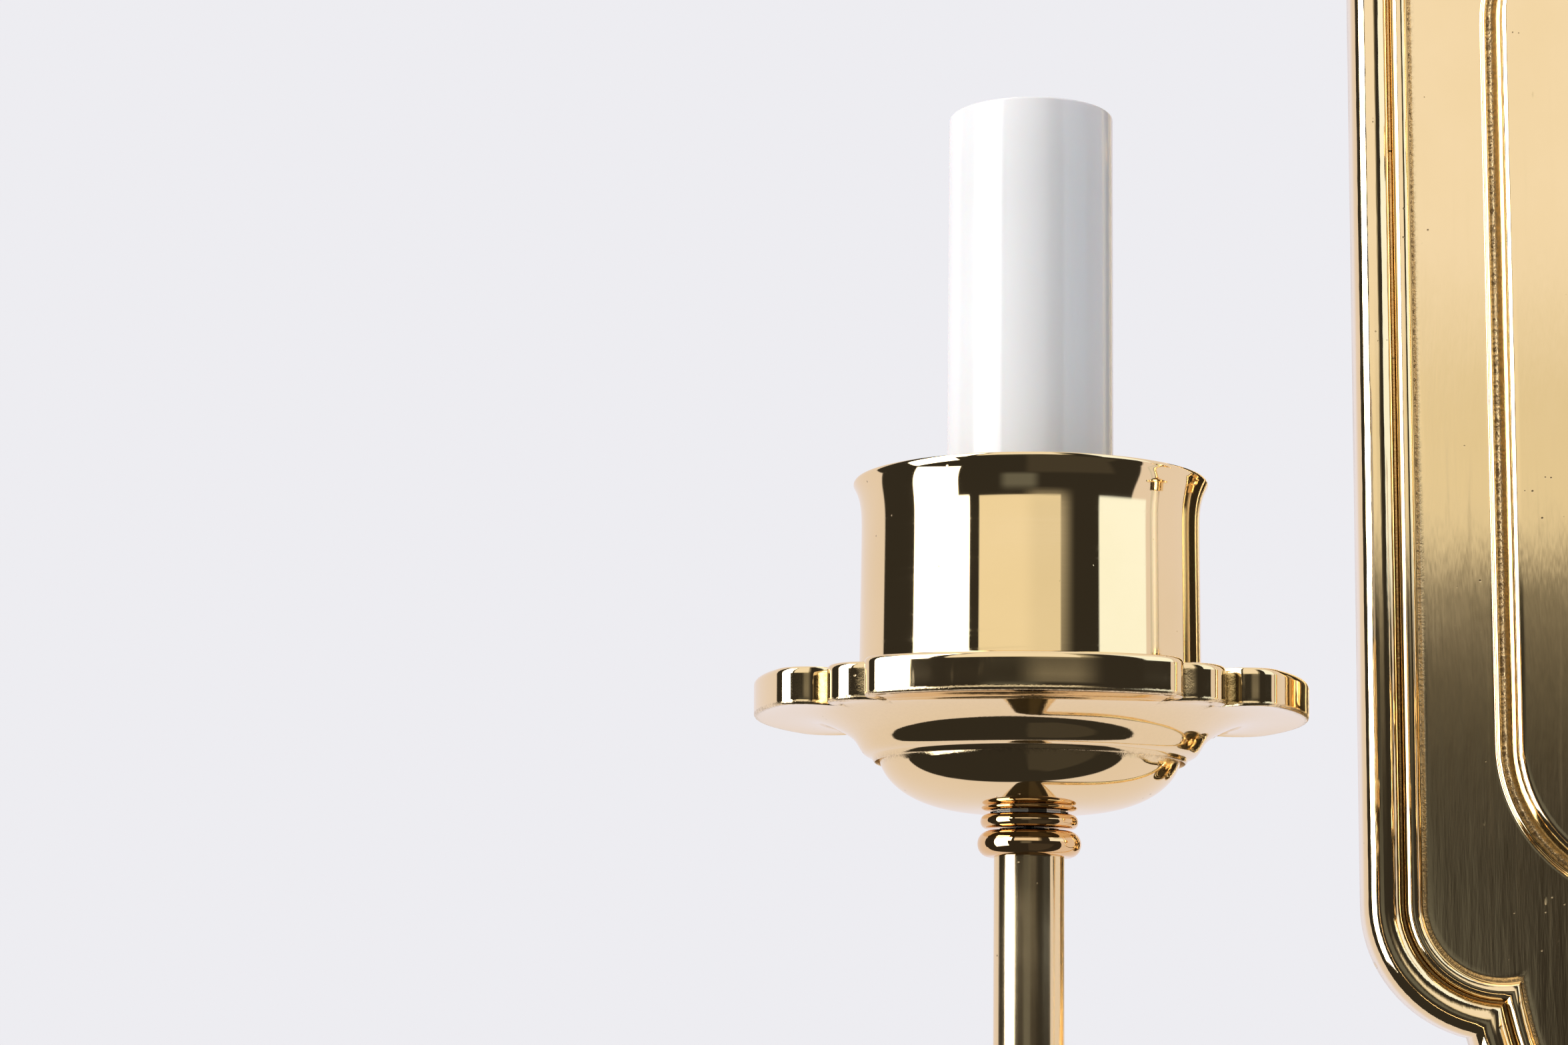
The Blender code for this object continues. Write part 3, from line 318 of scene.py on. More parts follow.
def rings_to_mesh(rings, close_ends=False, loop=False, grits=None):
    """Extrudes a ring of points to each next ring in turn; grits gives the cast grit at every point."""
    bm = bmesh.new()
    layer = bm.verts.layers.float.new("foot")
    grits = grits or [[0.0] * len(ring) for ring in rings]
    verts = [bm.verts.new(p) for p in rings[0]]
    for vert, grit in zip(verts, grits[0]):
        vert[layer] = grit
    edges = [bm.edges.new(pair) for pair in zip(verts, verts[1:] + verts[:1])]
    ends = [edges]
    order = list(range(1, len(rings))) + ([0] if loop else [])
    for number in order:
        place = {tuple(vert.co): i for i, vert in enumerate(verts)}
        made = bmesh.ops.extrude_edge_only(bm, edges=edges)["geom"]
        fresh = {g for g in made if isinstance(g, bmesh.types.BMVert)}
        edges = [g for g in made if isinstance(g, bmesh.types.BMEdge) and fresh.issuperset(g.verts)]
        verts = sorted(fresh, key=lambda vert: place[tuple(vert.co)])
        for vert, point, grit in zip(verts, rings[number], grits[number]):
            vert.co = point
            vert[layer] = grit
    ends.append(edges)
    if loop:
        bmesh.ops.remove_doubles(bm, verts=bm.verts, dist=1e-7)
    if close_ends:
        for end in ends:
            bmesh.ops.holes_fill(bm, edges=end, sides=0)
    bmesh.ops.recalc_face_normals(bm, faces=bm.faces)
    return bm


def frames_along(path):
    """Sideways and upward unit vectors across each point of a smooth path."""
    frames, side = [], None
    for i in range(len(path)):
        ahead = (path[min(i + 1, len(path) - 1)] - path[max(i - 1, 0)]).normalized()
        if side is None:
            side = (Vector((0, 0, 1)) if abs(ahead.z) < 0.9 else Vector((0, 1, 0))).cross(ahead)
        side = (side - ahead * side.dot(ahead)).normalized()
        frames.append((side.copy(), ahead.cross(side)))
    return frames


def swept(path, radius, sides):
    """A round rod along a path, closed at both ends."""
    rings = []
    turns = [2 * pi * k / sides for k in range(sides)]
    for point, (side, up) in zip(path, frames_along(path)):
        rings.append([point + (side * cos(t) + up * sin(t)) * radius for t in turns])
    return rings_to_mesh(rings, close_ends=True)


def mark(bm, name, share):
    """Gives each vertex of a bmesh the value share(point) in a float layer that the material reads."""
    layer = bm.verts.layers.float.new(name)
    for vert in bm.verts:
        vert[layer] = share(vert.co)


# ================================================================ backplate

SHOULDER_Z = 110.0 * MM
SHOULDER_RADIUS = 22.0 * MM
LOBE_HALF_WIDTH = 45.0 * MM
LOBE_HALF_HEIGHT = 56.0 * MM
LOBE_CENTRE_Z = PLATE_HALF_HEIGHT - LOBE_HALF_HEIGHT
FIELD_INSET = 25.2 * MM
FIELD_RADIUS = 23.0 * MM


def oval_inset(angle, inset):
    """A point of the end lobe's oval, moved in along its normal; angle runs from the side down."""
    x, z = LOBE_HALF_WIDTH * cos(angle), -LOBE_HALF_HEIGHT * sin(angle)
    nx, nz = cos(angle) / LOBE_HALF_WIDTH, -sin(angle) / LOBE_HALF_HEIGHT
    size = sqrt(nx * nx + nz * nz)
    return x - inset * nx / size, z - inset * nz / size - LOBE_CENTRE_Z


def plate_quarter(inset, field):
    """Lower right quarter of the plate's outline at an inset: side, shoulder arc, mitre and lobe."""
    half_width = PLATE_HALF_WIDTH - inset
    radius = FIELD_RADIUS - (inset - FIELD_INSET) if field else SHOULDER_RADIUS - inset
    centre_x, centre_z = half_width - radius, -(SHOULDER_Z - inset - radius)
    low, high = 0.0, pi / 2
    for _ in range(50):
        half = (low + high) / 2
        x, z = oval_inset(half, inset)  # the mitre is where lobe and shoulder meet
        drop = sqrt(max(radius**2 - max(x - centre_x, 0.0) ** 2, 0.0))
        low, high = (half, high) if z > centre_z - drop else (low, half)
    meet = high
    last = acos(min(max((oval_inset(meet, inset)[0] - centre_x) / radius, -1.0), 1.0))
    points = [(half_width, centre_z * i / 16) for i in range(16)]
    for i in range(19):
        turn = last * i / 18
        points.append((centre_x + radius * cos(turn), centre_z - radius * sin(turn)))
    for i in range(1, 24):
        points.append(oval_inset(meet + (pi / 2 - meet) * i / 24, inset))
    points.append((0.0, oval_inset(pi / 2, inset)[1]))
    return points


def plate_ring(inset, height, field):
    """The plate's whole outline at an inset and a height off the wall."""
    quarter = plate_quarter(inset, field)
    left = [(-x, z) for x, z in reversed(quarter[:-1])]
    lower = quarter + left
    upper = [(-x, -z) for x, z in lower]
    ring = lower[:-1] + upper[:-1]
    return [Vector((x, -height, z)) for x, z in ring]


PLATE_FRONT = [
    # (inset, height, depth of cast grit), from the flat field out to the plate's edge
    (27.5, 13.2, 0.0), (26.6, 13.2, 0.0), (26.3, 13.2, 0.0),
    # rounded side of the raised field, down to its cast foot
    (25.9, 13.15, 0.0), (25.5, 12.98, 0.0), (25.1, 12.65, 0.0), (24.7, 12.05, 0.0),
    (24.3, 11.2, 0.1), (23.95, 10.3, 0.3), (23.65, 9.65, 0.8), (23.4, 9.3, 1.0), (23.1, 9.2, 1.0),
    # small bead round the field
    (22.9, 9.35, 0.8), (22.75, 9.65, 0.4), (22.6, 9.9, 0.1), (22.4, 10.0, 0.0),
    (22.2, 9.9, 0.0), (22.05, 9.6, 0.1), (21.9, 9.32, 0.2), (21.75, 9.22, 0.1), (21.6, 9.2, 0.0),
    # flat channel, and the cast foot of the second bead
    (21.3, 9.2, 0.0), (16.0, 9.2, 0.0), (11.3, 9.2, 0.0), (10.9, 9.2, 0.0),
    (10.5, 9.18, 0.1), (10.1, 9.1, 0.4), (9.85, 8.95, 0.8), (9.65, 8.9, 1.0),
]
# (inset, height) of the hollow back, from the plate's edge in
PLATE_BACK = [(2.6, 7.0), (10.0, 7.0), (22.6, 7.0), (26.3, 11.0), (27.5, 11.0)]
CAST_BACK = 0.3  # grit of the unpolished back
FIELD_FROM = 12  # insets past this follow the field's outline
BEAD = (0.0, 6.1, 8.0, 12.4, 9.9)  # inset, width, outer foot, crest and inner foot of the outer bead
SECOND_BEAD = (6.35, 3.25, 9.7, 11.8, 9.0)


def bead_section(start, width, foot, crest, end_foot, steps):
    """A half-round bead's points from its outer foot to its inner one, as (inset, height, grit)."""
    points = []
    for i in range(steps + 1):
        turn = pi * i / steps
        base = foot + (end_foot - foot) * i / steps
        height = base + (crest - base) * sin(turn) ** 0.85
        points.append((start + width * (1 - cos(turn)) / 2, height, 0.0))
    return points


def make_backplate(material):
    """The cast plate: two beads and a channel round its edge, and a raised field with its own moulding."""
    outer = bead_section(*BEAD, steps=22)
    second = bead_section(*SECOND_BEAD, steps=14)
    edge = [(0.0, 5.0, 0.0), (0.0, 0.5, 0.0), (0.15, 0.15, 0.0), (0.5, 0.0, 0.0), (2.6, 0.0, 0.0)]
    sections = PLATE_FRONT + second[::-1] + [(6.25, 9.65, 0.35)] + outer[::-1] + edge
    sections += [(inset, height, CAST_BACK) for inset, height in PLATE_BACK]
    rings = [plate_ring(inset * MM, height * MM, inset > FIELD_FROM) for inset, height, _ in sections]
    grits = [[grit] * len(rings[0]) for _, _, grit in sections]
    bm = rings_to_mesh(rings, close_ends=True, grits=grits)
    return new_piece("cast_backplate", bm, material, replaces=["backplate"], angle=radians(40))


# ================================================================ hub and cap nuts


def front_turned(name, profile, steps, centre, material, body, node):
    """A piece turned about an axis that points to the front; heights run forward from the wall."""
    bm = spun([(r * MM, h * MM) for r, h in profile], steps, (centre[0], 0, centre[2]), axis="-Y")
    mark(bm, "foot", lambda point: 0.0)
    return new_piece(name, bm, material, body=body, replaces=[node])


HUB_RADIUS = 12.5  # of the hub's ball, in millimetres
HUB_NECK = 8.4
HUB_FACE = 6.0


def make_hub(material):
    """A moulded base on the plate, a narrow neck and a ball that both arms enter."""
    base = -HUB_HIGH.y / MM
    front = -HUB_LOW.y / MM
    profile = [(0.0, base), (14.5, base)] + arc(14.5, base + 0.5, 0.5, -90, 0, 4)[1:]
    profile += arc(14.1, base + 2.0, 0.9, 0, 90, 6) + [(13.0, base + 2.9), (12.7, base + 3.15)]
    profile += arc(9.6, base + 4.6, 1.6, -60, -180, 10)
    neck = asin(HUB_NECK / HUB_RADIUS)
    face = pi - asin(HUB_FACE / HUB_RADIUS)
    for i in range(37):
        turn = neck + (face - neck) * i / 36
        profile.append((HUB_RADIUS * sin(turn), HUB_BALL - HUB_RADIUS * cos(turn)))
    profile += [(5.6, front), (0.0, front)]
    front_turned("turned_hub", profile, 96, (0, 0, HUB_Z), material, ROOT, "hub")


def make_finial(material):
    """A flange, a waist, a ball and a button at the tip."""
    low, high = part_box("hub_finial")
    seat = -high.y / MM + 4.0
    tip = -low.y / MM
    profile = [(0.0, seat), (5.4, seat)] + arc(5.2, seat + 0.8, 0.8, -90, 90, 10)[1:]
    profile += arc(4.6, seat + 2.9, 1.3, -90, -175, 6)
    profile += arc(0.0, seat + 7.1, 4.6, -44, 62, 22)
    profile += [(2.0, tip - 2.2), (1.65, tip - 1.9)] + arc(0.0, tip - 1.7, 1.7, 5, 90, 8)
    profile[-1] = (0.0, tip)
    front_turned("turned_finial", profile, 64, (0, 0, HUB_Z), material, ROOT, "hub_finial")


def make_cap_nuts(material):
    """Two nuts with a flange and a domed cap, that hold the plate on its studs."""
    for place in ("upper", "lower"):
        node = place + "_cap_nut"
        low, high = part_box(node)
        base, top = -high.y / MM, -low.y / MM
        centre = (low + high) / 2
        profile = [(0.0, base), (5.9, base)] + arc(5.9, base + 0.5, 0.5, -90, 0, 4)[1:]
        profile += arc(5.9, base + 1.6, 0.5, 0, 90, 5) + [(5.0, base + 2.25)]
        profile += arc(0.0, top - 5.6, 5.6, -38, 90, 28)
        profile[-1] = (0.0, top)
        front_turned("turned_" + node, profile, 64, centre, material, node + "_body", node)


# ================================================================ arms

LEAVING = radians(-38.0)  # the slope at which an arm leaves the hub
ARM_RADIUS = 4.7625 * MM
ARM_START = 8.5 * MM  # from the hub's centre
ARM_PULL = 0.45
BEND_WIDTH = 38.0 * MM
BEND_HEIGHT = 33.0 * MM
COLLAR_RADIUS = 6.6 * MM
COLLAR_LENGTH = 3.4 * MM
COLLAR_START = 5.2 * MM  # from the tube's end


def arm_points(prefix, side):
    """The arm's centre line: a sagging curve from the hub, an upward bend and a straight end."""
    candle = CANDLE[prefix]
    across = Vector((abs(candle.x), candle.y + HUB_BALL * MM))
    plan, run = across.normalized(), across.length
    low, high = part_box(prefix + "arm_tube")
    floor = low.z + ARM_RADIUS
    first = Vector((ARM_START * cos(LEAVING), HUB_Z + ARM_START * sin(LEAVING)))
    bottom = Vector((run - BEND_WIDTH, floor))
    pull = (bottom.x - first.x) * ARM_PULL
    handle_a = first + pull * Vector((cos(LEAVING), sin(LEAVING)))
    handle_b = bottom - Vector((pull, 0))
    flat = []
    for i in range(40):
        t = i / 40
        u = 1 - t
        flat.append(u**3 * first + 3 * u * u * t * handle_a + 3 * u * t * t * handle_b + t**3 * bottom)
    for i in range(29):
        turn = pi / 2 * i / 28
        flat.append(Vector((bottom.x + BEND_WIDTH * sin(turn), floor + BEND_HEIGHT * (1 - cos(turn)))))
    flat.append(Vector((run, high.z)))
    return [Vector((side * p.x * plan.x, -HUB_BALL * MM + p.x * plan.y, p.y)) for p in flat]


def make_arms(material):
    """Both bent tubes, each with a collar where it enters the hub."""
    for prefix, side in SIDES:
        path = arm_points(prefix, side)
        bm = swept(path, ARM_RADIUS, 40)
        new_piece(prefix + "bent_arm", bm, material, replaces=[prefix + "arm_tube"])
        ahead = (path[1] - path[0]).normalized()
        seat = path[0] + ahead * COLLAR_START
        profile = ring_profile(ARM_RADIUS, COLLAR_RADIUS, 0.0, COLLAR_LENGTH)
        bm = spun(profile, 64, (0, 0, 0), closed=True)
        turn = Vector((0, 0, 1)).rotation_difference(ahead).to_matrix()
        bmesh.ops.rotate(bm, verts=bm.verts, matrix=turn)
        bmesh.ops.translate(bm, verts=bm.verts, vec=seat)
        mark(bm, "foot", lambda point: 0.0)
        new_piece(prefix + "arm_collar", bm, material, replaces=[prefix + "hub_collar"])


def ring_profile(hole, radius, low, high):
    """A ring with a half-round outside, a little flattened."""
    middle_z, half = (low + high) / 2, (high - low) / 2
    reach = half * 0.9
    points = [(hole, low)]
    for i in range(17):
        turn = -pi / 2 + pi * i / 16
        points.append((radius - reach + reach * cos(turn), middle_z + half * sin(turn)))
    points.append((hole, high))
    return points


# ================================================================ candle fittings


# sizes in millimetres
BEAD_RADIUS = 7.0
RING_RADIUS = 6.6
RING_HOLE = 4.0
PIPE_HOLE = 5.3
DOME_RADIUS = 20.5
DOME_WALL = 1.4
DOME_BORE = DOME_RADIUS - DOME_WALL
SEAM_GRIT = 2.0  # height of the cast band under the seam
SKIRT_LAP = 1.6  # the dome's straight part that the pan's skirt covers
PAN_RADIUS = 37.5
PAN_RIM = 5.0
PAN_FLOOR_DROP = 2.2
PAN_FLOOR_WALL = 3.8
BOWL_RADIUS = 29.4
NOTCH_RADIUS = 31.4
LOBE_END = radians(28.8)
END_LOBE = (33.3, 4.2)  # centre's distance and radius of the rounding at each end of a broad lobe
SMALL_LOBE = (29.4, 5.0)
CUP_FOOT_RADIUS = 22.4
CUP_RADIUS = 23.2
CUP_TAPER = 0.12
CUP_BORE = 21.8
CUP_BASE = 1.3
FLARE_FROM = 8.5  # under the lip
SLEEVE_RADIUS = 11.4
SLEEVE_BORE = 10.3


def box_z(node):
    """The lowest and highest point of a node, in millimetres."""
    low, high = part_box(node)
    return low.z / MM, high.z / MM


def turned_fitting(prefix, name, node, profile, steps, material, grit=lambda point: 0.0):
    """A brass piece round the candle's axis, from (radius, height) points in millimetres."""
    centre = (CANDLE[prefix].x, CANDLE[prefix].y, 0)
    bm = spun([(r * MM, z * MM) for r, z in profile], steps, centre, closed=True)
    mark(bm, "foot", grit)
    new_piece(prefix + name, bm, material, replaces=[prefix + node])


def make_beads(material):
    """The bead and the thin ring between each arm and its dome."""
    sizes = (("arm_bead", ARM_RADIUS / MM, BEAD_RADIUS), ("arm_ring", RING_HOLE, RING_RADIUS))
    for prefix, _ in SIDES:
        for node, hole, radius in sizes:
            profile = ring_profile(hole, radius, *box_z(prefix + node))
            turned_fitting(prefix, "turned_" + node, node, profile, 80, material)


def make_domes(material):
    """The cap under each pan: a bowl, and a straight part that stands in the pan's skirt."""
    for prefix, _ in SIDES:
        low, high = box_z(prefix + "dome")
        seam = box_z(prefix + "drip_pan")[0] + SKIRT_LAP
        depth = seam - low
        outer, inner = [], []
        for i in range(28):
            turn = pi / 2 * (1 - i / 28)
            bow, drop = cos(turn) ** 0.85, sin(turn)
            outer.append((PIPE_HOLE + (DOME_RADIUS - PIPE_HOLE) * bow, seam - depth * drop))
            inner.append((PIPE_HOLE + (DOME_BORE - PIPE_HOLE) * bow, seam - (depth - DOME_WALL) * drop))
        outer += [(DOME_RADIUS, seam), (DOME_RADIUS, high)]
        inner += [(DOME_BORE, seam), (DOME_BORE, high)]
        turned_fitting(prefix, "turned_dome", "dome", outer + inner[::-1], 112, material,
                       lambda point: 0.5 * held((point.z / MM - seam + SEAM_GRIT) / 0.5))


def held(share):
    return min(max(share, 0.0), 1.0)


def circle_reach(angle, distance, centre_angle, radius):
    """How far a ray at an angle reaches to the far side of a circle, or zero if it misses."""
    off = angle - centre_angle
    across = distance * sin(off)
    return 0.0 if abs(across) > radius else distance * cos(off) + sqrt(radius**2 - across**2)


def pan_reach(angle):
    """The pan's outline: four broad lobes at the quarters and four small ones between them."""
    fold = abs((angle + pi / 4) % (pi / 2) - pi / 4)
    if fold <= LOBE_END:
        return PAN_RADIUS
    ends = circle_reach(fold, END_LOBE[0], LOBE_END, END_LOBE[1])
    corner = circle_reach(fold, SMALL_LOBE[0], pi / 4, SMALL_LOBE[1])
    return max(NOTCH_RADIUS, ends, corner)


def pan_section(reach, rim, top, floor, under, skirt):
    """(radius, height, grit) round the pan's section where its outline is at reach, in millimetres."""
    inner = reach - 1.5
    # the floor and the dished upper side, out to the rim
    section = [(PIPE_HOLE, floor, 0.0), (24.0, floor, 0.0), (24.9, floor + 0.25, 0.1)]
    section += [(min(25.6, reach - 4.4), floor + 0.7, 0.0), (reach - 3.4, top - 0.75, 0.0)]
    section += [(reach - 2.4, top - 0.3, 0.0), (reach - 1.7, top - 0.06, 0.0)]
    # the rim's rounded top, its face and its cast lower edge
    section += [(r, z, 0.0) for r, z in arc(reach - 0.8, top - 0.8, 0.8, 90, 4, 7)]
    section += [(reach, top - 0.9, 0.0), (reach - 0.01, top - 1.2, 0.0), (reach - 0.03, rim + 2.0, 0.0)]
    section += [(reach - 0.04, rim + 1.1, 0.0), (reach - 0.05, rim + 0.62, 0.0)]
    section += [(reach - 0.06, rim + 0.5, 0.1)]
    section += [(r, z, 0.45) for r, z in arc(reach - 0.46, rim + 0.4, 0.4, -6, -90, 5)]
    section += [(reach - 0.75, rim + 0.01, 0.1), (inner, rim + 0.1, 0.0)]
    # the underside, the bowl and the skirt round the dome
    for share in (0.75, 0.5, 0.25):
        radius = BOWL_RADIUS + (inner - BOWL_RADIUS) * share
        section.append((radius, rim + 0.1 + 0.6 * (1 - share) * share, 0.0))
    section += [(radius, rim - (rim - skirt) * drop, 0.02) for radius, drop in BOWL]
    section += [(21.2, skirt + 0.24, 0.1), (21.05, skirt + 0.08, 0.3), (20.95, skirt, 0.4)]
    section += [(20.88, skirt + 0.25, 0.4), (20.88, under, 0.3), (PIPE_HOLE, under, 0.0)]
    return section


# (radius in millimetres, share of the skirt's depth under the rim)
BOWL = ((BOWL_RADIUS, -0.01), (28.4, 0.04), (27.3, 0.11), (26.3, 0.19), (25.4, 0.27), (24.65, 0.35),
        (24.05, 0.425), (23.6, 0.51), (23.27, 0.60), (23.0, 0.68), (22.75, 0.745), (22.45, 0.80),
        (22.08, 0.84), (21.7, 0.868), (21.35, 0.89))
# degrees from the middle of a broad lobe to that of a small one, closer together where the outline turns
PAN_ANGLES = (0, 5, 10, 15, 20, 24, 27, 28.5, 29.5, 30.5, 31.5, 32.5, 33.4, 34.2, 34.8, 35.2, 35.5, 35.9,
              36.4, 37.0, 38.0, 39.2, 40.5, 42.0, 43.5, 45)


def make_pans(material):
    """The lobed pans, made of sections set round the candle's axis."""
    quarter = [radians(a) for a in PAN_ANGLES]
    quarter += [radians(90) - a for a in reversed(quarter[1:-1])]
    angles = [a + turn * pi / 2 for turn in range(4) for a in quarter]
    for prefix, _ in SIDES:
        skirt, top = box_z(prefix + "drip_pan")
        rim, floor = top - PAN_RIM, top - PAN_FLOOR_DROP
        x, y = CANDLE[prefix].x, CANDLE[prefix].y
        rings, grits = [], []
        for angle in angles:
            reach = pan_reach(angle)
            section = pan_section(reach, rim, top, floor, floor - PAN_FLOOR_WALL, skirt)
            rings.append([Vector((x + r * MM * cos(angle), y + r * MM * sin(angle), z * MM))
                          for r, z, _ in section])
            notch_grit = 0.45 * (1.0 - held((reach - NOTCH_RADIUS) / 2.4))
            grits.append([max(grit, notch_grit if rim - 0.2 < z < top - 0.6 and r > 29 else 0.0)
                          for r, z, grit in section])
        bm = rings_to_mesh(rings, loop=True, grits=grits)
        new_piece(prefix + "lobed_pan", bm, material, replaces=[prefix + "drip_pan"],
                  angle=radians(50))


def make_cups(material):
    """The cups: a flat base, a straight wall and a lip that flares more and more."""
    for prefix, _ in SIDES:
        low, high = box_z(prefix + "cup")
        straight = high - FLARE_FROM
        outer = [(CUP_FOOT_RADIUS, low)] + arc(CUP_FOOT_RADIUS, low + 0.8, 0.8, -90, 0, 6)[1:]
        for share in (0.01, 0.02, 0.1, 0.3, 0.5, 0.7, 0.9, 1.0):
            outer.append((CUP_RADIUS - CUP_TAPER * share, low + 0.8 + (straight - low - 0.8) * share))
        inner = [(CUP_BORE, straight)]
        for i in range(1, 17):
            share = i / 16
            outer.append((CUP_RADIUS - CUP_TAPER + 1.17 * share**4.2, straight + 8.0 * share))
            inner.append((CUP_BORE + 1.15 * share**4.2, straight + 7.9 * share))
        outer += [(24.24, high - 0.25), (24.1, high - 0.04), (23.85, high)]
        inner += [(23.15, high - 0.2), (23.4, high)]
        floor = low + CUP_BASE
        base = [(21.9, floor + 0.6), (21.7, floor + 0.18), (21.3, floor), (PIPE_HOLE, floor)]
        profile = [(PIPE_HOLE, low)] + outer + inner[::-1] + base
        turned_fitting(prefix, "flared_cup", "cup", profile, 128, material)


def make_sleeves(material):
    """The plastic tubes that cover the lamp sockets."""
    for prefix, _ in SIDES:
        low, high = box_z(prefix + "sleeve")
        profile = [(SLEEVE_BORE, low + 0.2), (10.5, low), (11.2, low), (SLEEVE_RADIUS, low + 0.2)]
        profile += [(SLEEVE_RADIUS, low + (high - low) * i / 8) for i in range(1, 8)]
        profile += arc(SLEEVE_RADIUS - 0.4, high - 0.4, 0.4, 0, 90, 5)
        profile += [(10.5, high), (SLEEVE_BORE, high - 0.2)]
        centre = (CANDLE[prefix].x, CANDLE[prefix].y, 0)
        bm = spun([(r * MM, z * MM) for r, z in profile], 96, centre, closed=True)
        new_piece(prefix + "candle_sleeve", bm, material, body=prefix + "sleeve_body",
                  replaces=[prefix + "sleeve"])


# ================================================================ finishes of the carried-over nodes


def finish_nodes(finishes):
    """Gives each remaining node the finish of its material slot."""
    slots = {part["node"]: part["material_slot"] for part in frame["record"]["subparts"]}
    for name, piece in frame["nodes"].items():
        for spot in piece.material_slots:
            spot.material = finishes[slots[name]]


# ================================================================ studio


def make_world():
    """A plain pale backdrop, with a studio of soft boxes that only lights and reflections see."""
    world = bpy.data.worlds.new("studio")
    bpy.context.scene.world = world
    world.use_nodes = True
    tree = world.node_tree
    tree.nodes.clear()

    def node(kind, **settings):
        made = tree.nodes.new(kind)
        for key, value in settings.items():
            setattr(made, key, value)
        return made

    def feed(socket, value):
        if isinstance(value, bpy.types.NodeSocket):
            tree.links.new(value, socket)
        else:
            socket.default_value = value

    def calc(operation, a, b=0.0):
        made = node("ShaderNodeMath", operation=operation)
        feed(made.inputs[0], a)
        feed(made.inputs[1], b)
        return made.outputs[0]

    def ramp(value, low, high):
        made = node("ShaderNodeMapRange", interpolation_type="SMOOTHSTEP")
        feed(made.inputs["Value"], value)
        feed(made.inputs["From Min"], low)
        feed(made.inputs["From Max"], high)
        return made.outputs["Result"]

    def window(value, low, high, soft):
        return calc("MULTIPLY", ramp(value, low - soft, low + soft), ramp(value, high + soft, high - soft))

    split = node("ShaderNodeSeparateXYZ")
    feed(split.inputs[0], node("ShaderNodeTexCoord").outputs["Generated"])
    x, y, z = split.outputs
    azimuth = calc("MULTIPLY", calc("ARCTAN2", x, calc("MULTIPLY", y, -1.0)), 180 / pi)
    azimuth = calc("SUBTRACT", azimuth, STUDIO_TURN)
    height = calc("MULTIPLY", calc("ARCSINE", z), 180 / pi)

    def paint(over, share, colour):
        mixed = node("ShaderNodeMix", data_type="RGBA")
        feed(mixed.inputs[0], share)
        feed(mixed.inputs[6], over)
        feed(mixed.inputs[7], (*colour, 1))
        return mixed.outputs[2]

    # pale wall behind and to the right of the sconce, dark room in front of it
    behind = calc("ADD", calc("ADD", y, calc("MULTIPLY", x, 0.27)), calc("MULTIPLY", z, 0.3))
    total = paint((*ROOM_DARK, 1), ramp(behind, -0.01, 0.02), PALE)
    for low, high, bottom, top, soft, strength, colour in PANELS:
        share = calc("MULTIPLY", window(azimuth, low, high, soft), window(height, bottom, top, soft))
        total = paint(total, share, [strength * part for part in colour])

    studio = node("ShaderNodeBackground")
    feed(studio.inputs[0], total)
    plain = node("ShaderNodeBackground")
    feed(plain.inputs[0], (*BACKDROP, 1))
    seen = node("ShaderNodeMixShader")
    feed(seen.inputs[0], node("ShaderNodeLightPath").outputs["Is Camera Ray"])
    tree.links.new(studio.outputs[0], seen.inputs[1])
    tree.links.new(plain.outputs[0], seen.inputs[2])
    tree.links.new(seen.outputs[0], node("ShaderNodeOutputWorld").inputs["Surface"])


STUDIO_TURN = 1.5  # degrees
WHITE = (1.0, 1.0, 1.0)
CREAM = (1.0, 0.965, 0.93)
GOLD = (0.97, 0.91, 0.76)
WINDOW = (1.10, 1.25, 1.40)
OLIVE = (0.145, 0.15, 0.14)
UMBER = (0.062, 0.056, 0.047)
PALE = (0.85, 0.795, 0.83)
ROOM_DARK = (0.035, 0.032, 0.028)
BACKDROP = (0.85, 0.845, 0.88)
# The soft boxes: (azimuth from, to, height from, to, softness, strength, colour), in degrees. Azimuth
# runs from the front of the plate to its right, and each box is laid over the last.
PANELS = (
    (-116, -85, -20, 60, 1.0, 1.0, ROOM_DARK),
    (-200, 200, 62, 95, 3.0, 0.95, CREAM),
    (-18, 4, -14, 2.5, 4.0, 1.0, OLIVE),
    (-2, 58, -80, -16, 3.0, 1.0, UMBER),
    (-34, 20.5, 7.0, 62, 0.5, 0.98, GOLD),
    (0, 24, 8.5, 62, 7.0, 0.80, GOLD),
    (-34, 20.5, 11.0, 62, 1.5, 1.0, CREAM),
    (-84, -41, 6.9, 60, 0.8, 5.5, WHITE),
    (-84, -49, -28, 7.5, 0.8, 5.5, WHITE),
    (47, 84, 6.9, 60, 0.8, 1.0, WINDOW),
    (88, 89.5, -28, 60, 0.4, 0.7, WHITE),
    (91, 93, -28, 60, 0.4, 0.8, WHITE),
)


FLOOR_RADIUS = 4.0
FLOOR_DROP = 0.2


def make_floor():
    """A plain pale floor, well below the object."""
    s = Shading("studio_floor")
    cloud = s.noise(3, 2)
    tone = s.blend(s.span(cloud, 0.3, 0.7), (0.50, 0.50, 0.515, 1), (0.52, 0.52, 0.535, 1))
    material = s.set(colour=tone, roughness=0.9)
    bm = bmesh.new()
    bmesh.ops.create_circle(bm, cap_ends=True, segments=96, radius=FLOOR_RADIUS)
    bmesh.ops.translate(bm, verts=bm.verts, vec=(0, 0, CAD_BOX[0].z - FLOOR_DROP))
    mesh = bpy.data.meshes.new("floor")
    bm.to_mesh(mesh)
    bm.free()
    mesh.materials.append(material)
    floor = bpy.data.objects.new("floor", mesh)
    bpy.context.scene.collection.objects.link(floor)
    floor.visible_glossy = False


CAMERA_PLACE = (-0.1003, -0.5439, -0.115)
CAMERA_TURN, CAMERA_CLIMB, CAMERA_ROLL = radians(6.0), radians(9.57), radians(0.87)
CAMERA_LENS = 73.5
FILM_WIDTH = 36


